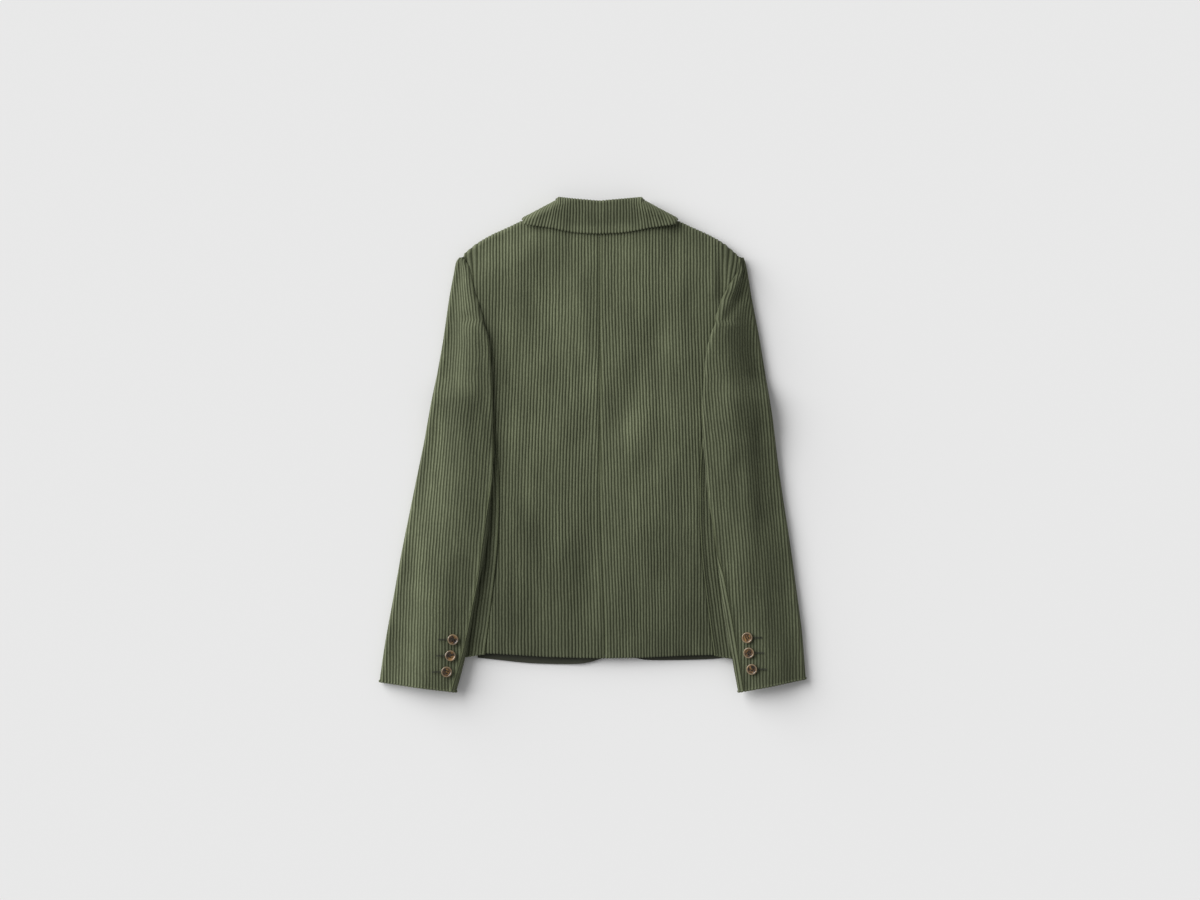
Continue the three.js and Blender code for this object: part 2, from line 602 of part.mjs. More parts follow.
function sleevePoint(side, a, y) {
  const section = sleeveSection(side, y);
  const [v, z] = a >= 0 ? pointAlong(section.over, a) : pointAlong(section.under, -a);
  const slant = side.cuffSlant * smooth(-180, CUFF_Y, y);
  return new THREE.Vector3(CENTRE_X + side.sign * v, y + slant * (v - section.innerV), z);
}

function topSleeve(side) {
  const base = SLEEVE_FLOOR_COLUMNS.length;
  const count = base + SLEEVE_COLUMNS;
  const at = (a, y) => sleevePoint(side, a, y);
  const limits = (y) => {
    const { back, front, section } = sleeveSeams(side, y);
    if (y > SEAM_TOP_Y) {
      return { low: -section.under.total + 0.4, high: section.over.total - 0.4 };
    }
    return { low: -front + SEAM_GAP / 2, high: Math.min(back - SEAM_GAP, section.over.total - 0.4) };
  };
  const columnAt = (i, y) => {
    const { low, high } = limits(y);
    if (i === 0) {
      return low;
    }
    const a = i < base ? SLEEVE_FLOOR_COLUMNS[i] : (i - base) * HALF_WALE;
    return THREE.MathUtils.clamp(a, low, high);
  };
  const surface = (y, i) => ({ at, a: columnAt(i, y), b: y });
  const waleAt = (y, i) => {
    if (i < base || (i - base) % 2 === 0) {
      return 0;
    }
    return WALE_HEIGHT * smooth(0.3, 2, limits(y).high - columnAt(i, y));
  };
  const inner = [...SLEEVE_INNER_COLUMNS, count - 1];
  return wallFromSurface(SLEEVE_ROWS, count, surface, inner, waleAt, -side.sign);
}

function underSleeve(side) {
  const split = UNDER_SLEEVE_BACK_COLUMNS.length;
  const count = split + UNDER_SLEEVE_FRONT_COLUMNS.length + 2;
  const at = (a, y) => sleevePoint(side, a, y);
  const surface = (y, i) => {
    const { back, front, section } = sleeveSeams(side, y);
    if (i < split) {
      const a = Math.min(back + 2.5 * SEAM_GAP + UNDER_SLEEVE_BACK_COLUMNS[i], section.over.total);
      return { at, a, b: y };
    }
    if (i <= split + 1) {
      return { at, a: i === split ? section.over.total : -section.under.total, b: y };
    }
    const a = Math.min(front + 2 * SEAM_GAP + UNDER_SLEEVE_FRONT_COLUMNS[i - split - 2], section.under.total);
    return { at, a: -a, b: y };
  };
  const rows = SLEEVE_ROWS.filter((y) => y <= SEAM_TOP_Y);
  const every = Array.from({ length: count }, (_, i) => i);
  return wallFromSurface(rows, count, surface, every, () => 0, -side.sign, split);
}

// Side panel: from the back seam round the side fold to the front
function sideSection(side, y) {
  const edge = side.edge(y);
  const from = side.backSeam(y) + SEAM_GAP / 2;
  const low = y <= UNDERARM_Y - 3;
  const half = rimHeight(y) / 2;
  const back = [];
  const backEnd = low ? edge : Math.max(from + LOBE_TIP, Math.min(armholeUnderSleeve(y), edge));
  for (let k = 0; k <= SIDE_STEPS; k += 1) {
    const f = Math.sin((k / SIDE_STEPS) * (Math.PI / 2));
    const v = from + (backEnd - from) * f;
    back.push([v, bodyHeight(side, v, y)]);
  }
  const front = [];
  const frontFrom = frontSideSeam(y) + SEAM_GAP / 2;
  const frontEnd = low ? edge : Math.max(frontFrom + LOBE_TIP, armholeFront(y) - SEAM_GAP);
  for (let k = 0; k <= SIDE_STEPS; k += 1) {
    const f = Math.sin((k / SIDE_STEPS) * (Math.PI / 2));
    const v = frontFrom + (frontEnd - frontFrom) * f;
    const reach = THREE.MathUtils.clamp((edge - v) / half, 0, 1);
    front.push([v, half * (1 - Math.sqrt(1 - (1 - reach) ** 2))]);
  }
  return { back: measured(back), front: measured(front) };
}

function sidePanel(side) {
  const backCount = SIDE_COLUMNS + SIDE_BACK_COLUMNS.length;
  const count = backCount + SIDE_FRONT_COLUMNS.length + 1;
  const split = backCount - 1;
  const sections = new Map();
  const sectionAt = (y) => {
    if (!sections.has(y)) {
      sections.set(y, sideSection(side, y));
    }
    return sections.get(y);
  };
  const at = (a, y) => {
    const section = sectionAt(y);
    const [v, z] = a >= 0 ? pointAlong(section.back, a) : pointAlong(section.front, -a - 1);
    const hem = side.backHem(v) - HEM_Y;
    return new THREE.Vector3(CENTRE_X + side.sign * v, y + hem * smooth(-230, HEM_Y, y), z);
  };
  const surface = (y, i) => {
    const { back, front } = sectionAt(y);
    if (i < SIDE_COLUMNS) {
      return { at, a: Math.min(i * HALF_WALE, Math.max(back.total - SIDE_SMOOTH, 0)), b: y };
    }
    if (i < backCount) {
      return { at, a: Math.max(back.total - SIDE_BACK_COLUMNS[i - SIDE_COLUMNS], 0), b: y };
    }
    const k = i - backCount;
    const away = k < SIDE_FRONT_COLUMNS.length ? Math.max(front.total - SIDE_FRONT_COLUMNS[k], 0) : 0;
    return { at, a: -away - 1, b: y };
  };
  const waleAt = (y, i) => {
    const clear = sectionAt(y).back.total - SIDE_SMOOTH - i * HALF_WALE;
    return i < SIDE_COLUMNS && i % 2 === 1 && clear > 0 ? WALE_HEIGHT : 0;
  };
  const every = Array.from({ length: count }, (_, i) => i);
  return wallFromSurface(SIDE_ROWS, count, surface, every, waleAt, side.sign, split);
}

// Front panel: flat on the floor, the left one lapped over the right one
function frontPanel(side) {
  const rollLine = (y) => {
    const t = (y - NECK_FOOT_Y) / (NECK_TOP_Y - NECK_FOOT_Y);
    return side.neckFoot + (NECK_TOP_HALF - side.neckFoot) * t;
  };
  const innerAt = (y) => (y > NECK_FOOT_Y ? rollLine(y) : side.frontEdge(y));
  const outerAt = (y) => {
    const armhole = armholeFront(y) - 4 * SEAM_GAP - 3.5 * (1 - smooth(SEAM_TOP_Y, 215, y));
    return y > SEAM_TOP_Y ? armhole : frontSideSeam(y) - 2.5 * SEAM_GAP;
  };
  const topOf = (v) => shoulderLine(v) - 2 * SHOULDER_FOLD - SEAM_GAP - FRONT_SHOULDER_DROP;
  const at = (v, up) => {
    const hem = side.frontHem(v);
    const y = hem + (topOf(v) - hem) * up;
    const lap = side.sign < 0 ? FRONT_OVERLAP_RISE * smooth(LAP_FULL, LAP_START, v) : 0;
    return new THREE.Vector3(CENTRE_X + side.sign * v, y, WALL + lap);
  };
  const surface = (up, i) => {
    const f = i / (FRONT_COLUMNS - 1);
    let v = 100;
    for (let round = 0; round < 30; round += 1) {
      const { y } = at(v, up);
      const want = innerAt(y) + (outerAt(y) - innerAt(y)) * f;
      v += (want - v) * 0.5;
    }
    return { at, a: v, b: up, stepB: 0.004 };
  };
  const every = Array.from({ length: FRONT_COLUMNS }, (_, i) => i);
  return wallFromSurface(FRONT_FRACTIONS, FRONT_COLUMNS, surface, every, () => 0, side.sign);
}

// Collar fall: over the back from its roll, and round the fold at each side of the neck
const collarRollLine = curve(COLLAR_ROLL_LINE, 's', 'y');
const collarEdgeLine = curve(COLLAR_EDGE_LINE, 's', 'y');
const collarFoldAway = new THREE.Vector2(COLLAR_LOW_HALF - COLLAR_TOP_HALF, 0)
  .setY(collarEdgeLine(1) - collarRollLine(1))
  .normalize();
const collarOutwards = new THREE.Vector2(-collarFoldAway.y, collarFoldAway.x);

function collarHalf(q) {
  const flat = THREE.MathUtils.clamp(q, 0, 1);
  const half = COLLAR_TOP_HALF + (COLLAR_LOW_HALF - COLLAR_TOP_HALF) * flat;
  return half - COLLAR_FOLD * collarOutwards.x;
}

function collarPoint(reach, q) {
  const flat = THREE.MathUtils.clamp(q, 0, 1);
  const half = collarHalf(q);
  const sign = reach < 0 ? -1 : 1;
  const v = Math.min(Math.abs(reach), half);
  const s = v / half;
  const turn = Math.max(Math.abs(reach) - half, 0) / half;
  const fold = COLLAR_FOLD * collarOutwards.y * smooth(0.6, 1, s);
  const rolled = THREE.MathUtils.clamp(-q, 0, 1) * (Math.PI / 2);
  const high = COLLAR_HEIGHT - COLLAR_EDGE_DROP * smooth(0.2, 0.8, flat);
  const y = collarRollLine(s) * (1 - flat) + collarEdgeLine(s) * flat - fold - COLLAR_ROLL * (1 - flat);
  const wholeTurn = THREE.MathUtils.lerp(COLLAR_TURN, COLLAR_TURN_LOW, flat);
  const over = THREE.MathUtils.degToRad(90 - wholeTurn * Math.min(turn, 1));
  const out = COLLAR_FOLD * Math.cos(over);
  return new THREE.Vector3(
    CENTRE_X + sign * (v + out * collarOutwards.x),
    y + out * collarOutwards.y + COLLAR_ROLL * Math.sin(rolled) * (1 - Math.min(turn * 2, 1)),
    (high / 2) * (1 + Math.sin(over)) - COLLAR_ROLL * (1 - Math.cos(rolled)) * Math.max(Math.sin(over), 0),
  );
}

function collarFall() {
  const turns = COLLAR_FOLD_TURNS.length;
  const half = COLLAR_COLUMNS + turns;
  const count = 2 * half + 1;
  const surface = (q, i) => {
    const away = Math.abs(i - half);
    const limit = collarHalf(q);
    const reach = away <= COLLAR_COLUMNS
      ? Math.min(away * HALF_WALE, limit)
      : limit * (1 + COLLAR_FOLD_TURNS[away - COLLAR_COLUMNS - 1]);
    return { at: collarPoint, a: Math.sign(i - half) * reach, b: q, stepB: 0.01 };
  };
  const waleAt = (q, i) => {
    const away = Math.abs(i - half);
    const clear = collarHalf(q) - away * HALF_WALE;
    return away % 2 === 1 && away <= COLLAR_COLUMNS ? WALE_HEIGHT * smooth(0.2, 2, clear) : 0;
  };
  const inner = [0, 1, 2, 3, 4];
  for (let i = half - 40; i <= half + 40; i += 10) {
    inner.push(i);
  }
  for (let i = half + COLLAR_COLUMNS; i < count; i += 1) {
    inner.push(i);
  }
  return wallFromSurface(COLLAR_FRACTIONS, count, surface, inner, waleAt, -1);
}

// Collar stand: under the fall, from the neckline to the roll
function collarStand() {
  const at = (v, up) => {
    const low = shoulderLine(Math.abs(v)) + SEAM_GAP;
    const high = collarRollLine(Math.abs(v) / COLLAR_TOP_HALF) - WALL - 3 * SEAM_GAP;
    const rise = smooth(0, 0.6, up);
    const z = THREE.MathUtils.lerp(STAND_FOOT_HEIGHT, STAND_HEIGHT, rise);
    return new THREE.Vector3(CENTRE_X + v, low + (high - low) * up, z);
  };
  const surface = (up, i) => ({ at, a: STAND_HALF * (2 * i / (STAND_COLUMNS - 1) - 1), b: up, stepB: 0.02 });
  const every = Array.from({ length: STAND_COLUMNS }, (_, i) => i);
  return wallFromSurface(STAND_FRACTIONS, STAND_COLUMNS, surface, every, () => 0, 1);
}

// Button: a dished disc with a raised rim, lying on the sleeve
function buttonShape() {
  const r = BUTTON_DIAMETER / 2;
  const profile = [
    [0, 0], [r - 1.5, 0], [r, 1.2], [r - 0.4, BUTTON_HEIGHT - 0.4], [r - 1.2, BUTTON_HEIGHT],
    [r - 2.4, BUTTON_HEIGHT - 0.7], [0, BUTTON_HEIGHT - 0.9]];
  const shape = new THREE.LatheGeometry(profile.map(([x, y]) => new THREE.Vector2(x, y)), 20);
  shape.rotateX(Math.PI / 2);
  return shape;
}

function sleeveButton(side, place, number) {
  const v = side.sign * (place.x - CENTRE_X);
  const high = (x, y) => {
    const section = sleeveSection(side, y);
    let low = 0;
    let far = section.foldLength;
    for (let round = 0; round < 30; round += 1) {
      const middle = (low + far) / 2;
      if (pointAlong(section.over, middle)[0] > x) {
        low = middle;
      } else {
        far = middle;
      }
    }
    return pointAlong(section.over, low)[1];
  };
  const step = 4;
  const y = place.y - side.cuffSlant * smooth(-180, CUFF_Y, place.y) * (v - side.sleeveInner(place.y));
  const slopeV = (high(v + step, y) - high(v - step, y)) / (2 * step);
  const slopeY = (high(v, y + step) - high(v, y - step)) / (2 * step);
  const normal = new THREE.Vector3(-slopeV * side.sign, -slopeY, 1).normalize();
  const button = cloth(`button_${side.name}_${number}`, buttonShape(), BUTTON_COLOUR);
  button.material.roughness = 0.35;
  button.quaternion.setFromUnitVectors(new THREE.Vector3(0, 0, 1), normal);
  button.position.set(place.x, place.y, high(v, y)).addScaledVector(normal, BUTTON_LIFT);
  return button;
}

const sides = [sideLines(LEFT), sideLines(RIGHT)];
const jacket = new THREE.Group();
for (const side of sides) {
  jacket.add(cloth(`back_${side.name}`, backPanel(side)));
  jacket.add(cloth(`side_${side.name}`, sidePanel(side)));
  jacket.add(cloth(`front_${side.name}`, frontPanel(side), INSIDE_COLOUR));
  jacket.add(cloth(`top_sleeve_${side.name}`, topSleeve(side)));
  jacket.add(cloth(`under_sleeve_${side.name}`, underSleeve(side)));
  side.buttons.forEach((place, i) => jacket.add(sleeveButton(side, place, i + 1)));
}
jacket.add(cloth('collar_fall', collarFall()));
jacket.add(cloth('collar_stand', collarStand()));

export default jacket;
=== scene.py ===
"""Corduroy jacket laid flat with its back up: its cut pieces as ribbed cloth, with buttons and stitching."""
import bisect
import math

import bpy
from mathutils import Matrix, Vector, noise


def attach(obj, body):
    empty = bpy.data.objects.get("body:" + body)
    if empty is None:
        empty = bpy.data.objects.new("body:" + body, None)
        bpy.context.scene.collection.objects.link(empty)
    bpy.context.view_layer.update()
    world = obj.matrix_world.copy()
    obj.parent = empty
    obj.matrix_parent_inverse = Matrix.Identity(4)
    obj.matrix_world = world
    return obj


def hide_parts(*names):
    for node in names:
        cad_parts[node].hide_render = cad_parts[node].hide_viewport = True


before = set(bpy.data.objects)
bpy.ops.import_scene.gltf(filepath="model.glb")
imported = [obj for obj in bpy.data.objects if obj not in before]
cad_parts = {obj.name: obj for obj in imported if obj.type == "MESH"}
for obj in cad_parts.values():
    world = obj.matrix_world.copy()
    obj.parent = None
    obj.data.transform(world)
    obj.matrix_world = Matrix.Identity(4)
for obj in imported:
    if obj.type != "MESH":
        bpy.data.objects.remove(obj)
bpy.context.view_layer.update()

bl_info = {
    "name": "Corduroy jacket",
    "version": (1, 0, 0),
    "blender": (4, 5, 0),
    "location": "View3D > Sidebar > Jacket",
    "description": "Makes a corduroy jacket laid flat, with its buttons, stitches and stage",
    "category": "Object",
}

MM = 0.001
POINTS_APART = 0.35
MERGE_DISTANCE = 0.00004
EDGE_ROWS = [1.8, 1.2, 0.7, 0.2, 0]
LEAST_EDGE = 0.00001

# Body, in millimetres
CENTRE_X = 10.5
CENTRE_DRIFT = 7
BACK_WIDTH = 206
BACK_LENGTH = 610
SHOULDER_FOLD = 7
SIDE_ROLL = 22
SIDE_ROLL_COLUMNS = 16
SIDE_STEPS = 60
FRONT_FOLD_Y = -85
FRONT_FOLD_LENGTH = 400
FRONT_FOLD_TOP = 62
FRONT_FOLD_FOOT = {-1: -30, 1: 0}
FRONT_OVERLAP_RISE = 2.4
UNDERARM_Y = 56
SEAM_TOP_Y = 150
ARMHOLE_OPEN_Y = 171
HEM_Y = -296
LOBE_TIP = 2
SEAM_GAP = 0.3
SLEEVE_GAP = 1.3
ARMHOLE_GAP = 0.5
CLOTH_WALLS = {"corduroy": 1.9, "corduroy_inside": 2}

# Sleeves
SLEEVE_TOP_Y = 262.4
SLEEVE_HEAD_ROLL = 7
SLEEVE_HEAD_MIDDLE = 7
INNER_FOLD_RADIUS = 4.2
INNER_FOLD_RISE = 4.5
LEAST_FOLD_RISE = 2.5
OUTER_FOLD_HEIGHT = 12
OUTER_FOLD_REACH = 6
SLEEVE_CROWN = 8
CUFF_Y = -343
ARC_STEPS = 12
SPAN_STEPS = 48
FAR_STEPS = 24

# Collar
COLLAR_ROLL = 3.5
COLLAR_FOLD = 9
COLLAR_HEIGHT = 27.5
COLLAR_EDGE_DROP = 2.2
COLLAR_TOP_HALF = 60
COLLAR_LOW_HALF = 109.5
COLLAR_FLAT_HALF = 118
COLLAR_FALL_DEPTH = 46
COLLAR_TURN = 165
COLLAR_TURN_LOW = 90
TURN_COLUMNS = 42
STAND_HALF = 46
STAND_STEPS = 60
STAND_FOOT_HEIGHT = 21
STAND_HEIGHT = 23.6

# Buttons: each step of the face as its width inwards and its rise
BUTTON_STEPS = [(0.5, 0.4), (1.0, 0.05), (0.8, -0.85), (2.2, -0.12)]
BUTTON_MIDDLE = 1.4
HOLE_OFFSET = 1.6
HOLE_START = 3
HOLE_LENGTH = 17
HOLE_STITCHES = 26
THREAD_END = 0.55

# Camera and floor
VIEW_WIDTH = 1.68
VIEW_MIDDLE = (0.0105, -0.007)
CAMERA_HEIGHT = 4.0
KEY_FROM = (-1.0, 0.62, 0.56)
KEY_SOFTNESS = 60
KEY_STRENGTH = 4.8
ROOM_STRENGTH = 0.365

# Half widths and seams of each side, outwards from the centre back: rows of (y, v)
LEFT = {
    "name": "left",
    "sign": -1,
    "edge": [(-296, 232), (-60, 221), (56, 226), (110, 242), (200, 250)],
    "back_seam": [(-296, 161.5), (-234, 154), (-150, 144.5), (-70, 141.4), (0, 144.8), (77, 154),
                  (150, 162.6), (171, 162.8), (203, 172.2), (223, 177.8), (244, 181), (260, 190)],
    "sleeve_outer": [(-343, 308), (-264, 296.8), (-164, 280), (-63, 259.7), (38, 239.4), (139, 220.5),
                     (206, 210.7), (240, 204.4), (256, 200.9), (263, 196)],
    "sleeve_inner": [(-343, 200), (-280, 184), (-218, 172.9), (-161, 161.7), (-105, 154), (-1, 148.4),
                     (74, 149.1), (134, 152.6), (153, 155.6), (171, 162.8)],
    "sleeve_seam": [(-343, 10), (-200, 7), (-130, 9), (-50, 5), (0, 1), (56, -10)],
    "back_hem": [(0, -297.5), (75, -295.4), (161, -290.5), (185, -294), (232, -297)],
    "front_hem": [(-3, -298.5), (17, -304.4), (42, -306.6), (98, -305.2), (140, -301), (178, -296.8)],
    "front_edge": [(-307, 10), (-297, -4), (-285, -11), (-250, -24), (-200, -30)],
    "buttons": [(-194.5, -270.8), (-198.1, -293.2), (-203.4, -315.8)],
    "cuff_slant": 14 / 108,
    "wale_shift": [(-343, 0), (0, 45.6), (100, 58), (150, 64.5), (190, 72), (225, 81), (262, 93)],
}
RIGHT = {
    "name": "right",
    "sign": 1,
    "edge": [(-296, 236), (-60, 224), (56, 229), (110, 244), (200, 252)],
    "back_seam": [(-296, 160.5), (-245, 154), (-150, 143), (-66, 140), (0, 142.8), (77, 152.5),
                  (150, 158.8), (171, 161), (203, 171.5), (225, 182), (244, 193), (260, 194)],
    "sleeve_outer": [(-343, 287.5), (-264, 281.4), (-164, 269.5), (-63, 254.1), (38, 240.1), (139, 224.7),
                     (206, 212.1), (240, 206.6), (256, 203), (263, 200.5)],
    "sleeve_inner": [(-343, 192.5), (-273, 178.5), (-217, 169.4), (-144, 161.7), (-105, 156.8), (-49, 148.4),
                     (35, 141.4), (118, 145.6), (153, 153.5), (171, 161)],
    "sleeve_seam": [(-343, 10), (-250, 13), (-189, 10), (-150, 4), (-88, 1), (0, -8), (56, -14)],
    "back_hem": [(0, -297.5), (42, -296.8), (160, -292.6), (180, -296), (236, -298)],
    "front_hem": [(44, -297), (60, -300.4), (98, -301), (154, -299.6), (182, -296.8)],
    "front_edge": [(-301, 58), (-296, 42), (-285, 28), (-250, 8), (-200, 0)],
    "buttons": [(215.7, -268), (218, -289.2), (222.2, -312.2)],
    "cuff_slant": 18 / 95,
    "wale_shift": [(-343, 0), (0, 24.7), (110, 31), (150, 36), (185, 45), (215, 56), (262, 76)],
}
SHOULDER_LINE = [(0, 312), (45, 317), (75, 325), (109, 312.6), (128, 303.8), (153, 292.6), (172, 281.4),
                 (186, 270.2), (192, 264.6), (200, 256)]
ARMHOLE_UNDER_SLEEVE = [(56, 224), (66, 203), (90, 184), (120, 172), (150, 165), (171, 162.8)]
ARMHOLE_FRONT = [(56, 224), (66, 210), (90, 190), (120, 176), (150, 170), (200, 174), (232, 184), (252, 198),
                 (264, 200)]
FRONT_SIDE_SEAM = [(-296, 172), (-60, 160), (56, 165), (150, 166.5)]
SLEEVE_FRONT_SEAM = [(-343, 26), (-150, 22), (-50, 16), (56, 12)]
CROWN_HEIGHT = [(-300, 11), (-200, 14), (-60, 16), (60, 19), (180, 22), (320, 21)]
RIM_HEIGHT = [(-300, 8.5), (-60, 10), (60, 12), (200, 14)]
COLLAR_ROLL_LINE = [(0, 340), (0.6, 342.5), (1, 345.2)]
COLLAR_EDGE_LINE = [(0, 294.4), (0.31, 296), (0.64, 302.4), (0.9, 312.5), (1, 315.5)]

# Creases from one end to the other: x0, y0, x1, y1, width and rise
FOLD_DEPTH = 1.35
BODY_FOLDS = [
    (-8, 225, -14, 130, 26, 1.6), (6, 80, -36, 20, 22, 1.6), (76, 45, 38, -35, 24, 1.6),
    (90, 155, 43, 38, 20, -1.8), (-78, 190, -84, 140, 24, -1.4), (-3, -155, -22, -225, 20, -1.4),
    (178, 280, 181, 205, 7, -2.2), (166, 282, 168, 214, 9, 1.2)]
SLEEVE_FOLDS = [
    (-232, -30, -242, -210, 20, 2.4), (-176, 178, -152, 172, 6, -3.2), (-170, 156, -164, 144, 10, 2.4),
    (211, 212, 177, 170, 8, -3.2), (205, 228, 172, 186, 7, 1.8), (202, -30, 198, -150, 14, -1.8),
    (235, -50, 231, -210, 16, -1.6), (216, 0, 218, -60, 14, 1.8)]


def smooth(low, high, value):
    t = min(max((value - low) / (high - low), 0.0), 1.0)
    return t * t * (3 - 2 * t)


def clamp(value, low, high):
    return min(max(value, low), high)


def curve(rows):
    """Smooth curve through rows of two values."""
    rows = sorted(rows)
    xs = [row[0] for row in rows]
    ys = [row[1] for row in rows]
    last = len(xs) - 1
    slopes = []
    for i in range(len(xs)):
        a = max(i - 1, 0)
        b = min(i + 1, last)
        slopes.append((ys[b] - ys[a]) / (xs[b] - xs[a]))

    def value(x):
        if x <= xs[0]:
            return ys[0]
        if x >= xs[last]:
            return ys[last]
        i = bisect.bisect_left(xs, x) - 1
        w = xs[i + 1] - xs[i]
        t = (x - xs[i]) / w
        first = (2 * t ** 3 - 3 * t ** 2 + 1) * ys[i] + (t ** 3 - 2 * t ** 2 + t) * w * slopes[i]
        second = (3 * t ** 2 - 2 * t ** 3) * ys[i + 1] + (t ** 3 - t ** 2) * w * slopes[i + 1]
        return first + second

    return value


shoulder_line = curve(SHOULDER_LINE)
armhole_under_sleeve = curve(ARMHOLE_UNDER_SLEEVE)
armhole_front = curve(ARMHOLE_FRONT)
front_side_seam = curve(FRONT_SIDE_SEAM)
sleeve_front_seam = curve(SLEEVE_FRONT_SEAM)
crown_height = curve(CROWN_HEIGHT)
rim_height = curve(RIM_HEIGHT)
collar_roll_line = curve(COLLAR_ROLL_LINE)
collar_edge_line = curve(COLLAR_EDGE_LINE)


class Side:
    """Lines of one side of the jacket."""

    def __init__(self, table):
        self.name = table["name"]
        self.sign = table["sign"]
        self.buttons = table["buttons"]
        self.cuff_slant = table["cuff_slant"]
        self.sections = {}
        for line in ("edge", "back_seam", "sleeve_outer", "sleeve_inner", "sleeve_seam", "back_hem",
                     "front_hem", "front_edge", "wale_shift"):
            setattr(self, line, curve(table[line]))


SIDES = [Side(LEFT), Side(RIGHT)]


def fold_rise(folds, x, y):
    rise = 0.0
    for x0, y0, x1, y1, wide, high in folds:
        dx = x1 - x0
        dy = y1 - y0
        t = clamp(((x - x0) * dx + (y - y0) * dy) / (dx * dx + dy * dy), 0, 1)
        away = math.hypot(x - x0 - t * dx, y - y0 - t * dy) / wide
        if away < 3:
            rise += high * math.exp(-away * away)
    return rise


def back_x(side, v, y):
    """The centre back seam drifts to the right towards the hem."""
    return CENTRE_X + side.sign * v + CENTRE_DRIFT * smooth(50, -HEM_Y, -y) * (1 - smooth(0, 140, v))


def body_height(side, v, y):
    in_from_side = side.edge(y) - v
    near = smooth(50, 110, v)
    in_from_shoulder = 60 + (shoulder_line(v) - y - 60) * near
    rim = rim_height(y)
    dome = smooth(0, 90, in_from_side) * smooth(0, 60, in_from_shoulder)
    folds = FOLD_DEPTH * fold_rise(BODY_FOLDS, CENTRE_X + side.sign * v, y)
    full = rim + (crown_height(y) - rim) * dome + folds * dome
    reach = clamp(in_from_side / (full / 2), 0, 1)
    return (full / 2) * (1 + math.sqrt(1 - (1 - reach) ** 2))


def measured(points):
    lengths = [0.0]
    for p, q in zip(points, points[1:]):
        lengths.append(lengths[-1] + math.hypot(q[0] - p[0], q[1] - p[1]))
    return points, lengths


def point_along(line, length):
    points, lengths = line
    want = clamp(length, 0, lengths[-1])
    i = clamp(bisect.bisect_left(lengths, want) - 1, 0, len(points) - 2)
    t = (want - lengths[i]) / max(lengths[i + 1] - lengths[i], 1e-9)
    p, q = points[i], points[i + 1]
    return p[0] + (q[0] - p[0]) * t, p[1] + (q[1] - p[1]) * t


def sleeve_bed(side, v, y):
    """What a sleeve lies on: the body, then a soft drop to the floor outside it."""
    edge = side.edge(y)
    gap = SLEEVE_GAP + (ARMHOLE_GAP - SLEEVE_GAP) * smooth(SEAM_TOP_Y, ARMHOLE_OPEN_Y, y)
    high = body_height(side, min(v, edge - 4), y) + gap
    past = 1 - smooth(60, 100, y) if v > edge else 1
    return high * (1 - smooth(edge - 1, edge + 26, v)) * past


def fold_arc(end, reach, middle, rise, turns):
    """Points round a fold, from its end inwards and up."""
    return [(end + reach * (1 - math.cos(turn)), middle + rise * math.sin(turn)) for turn in turns]


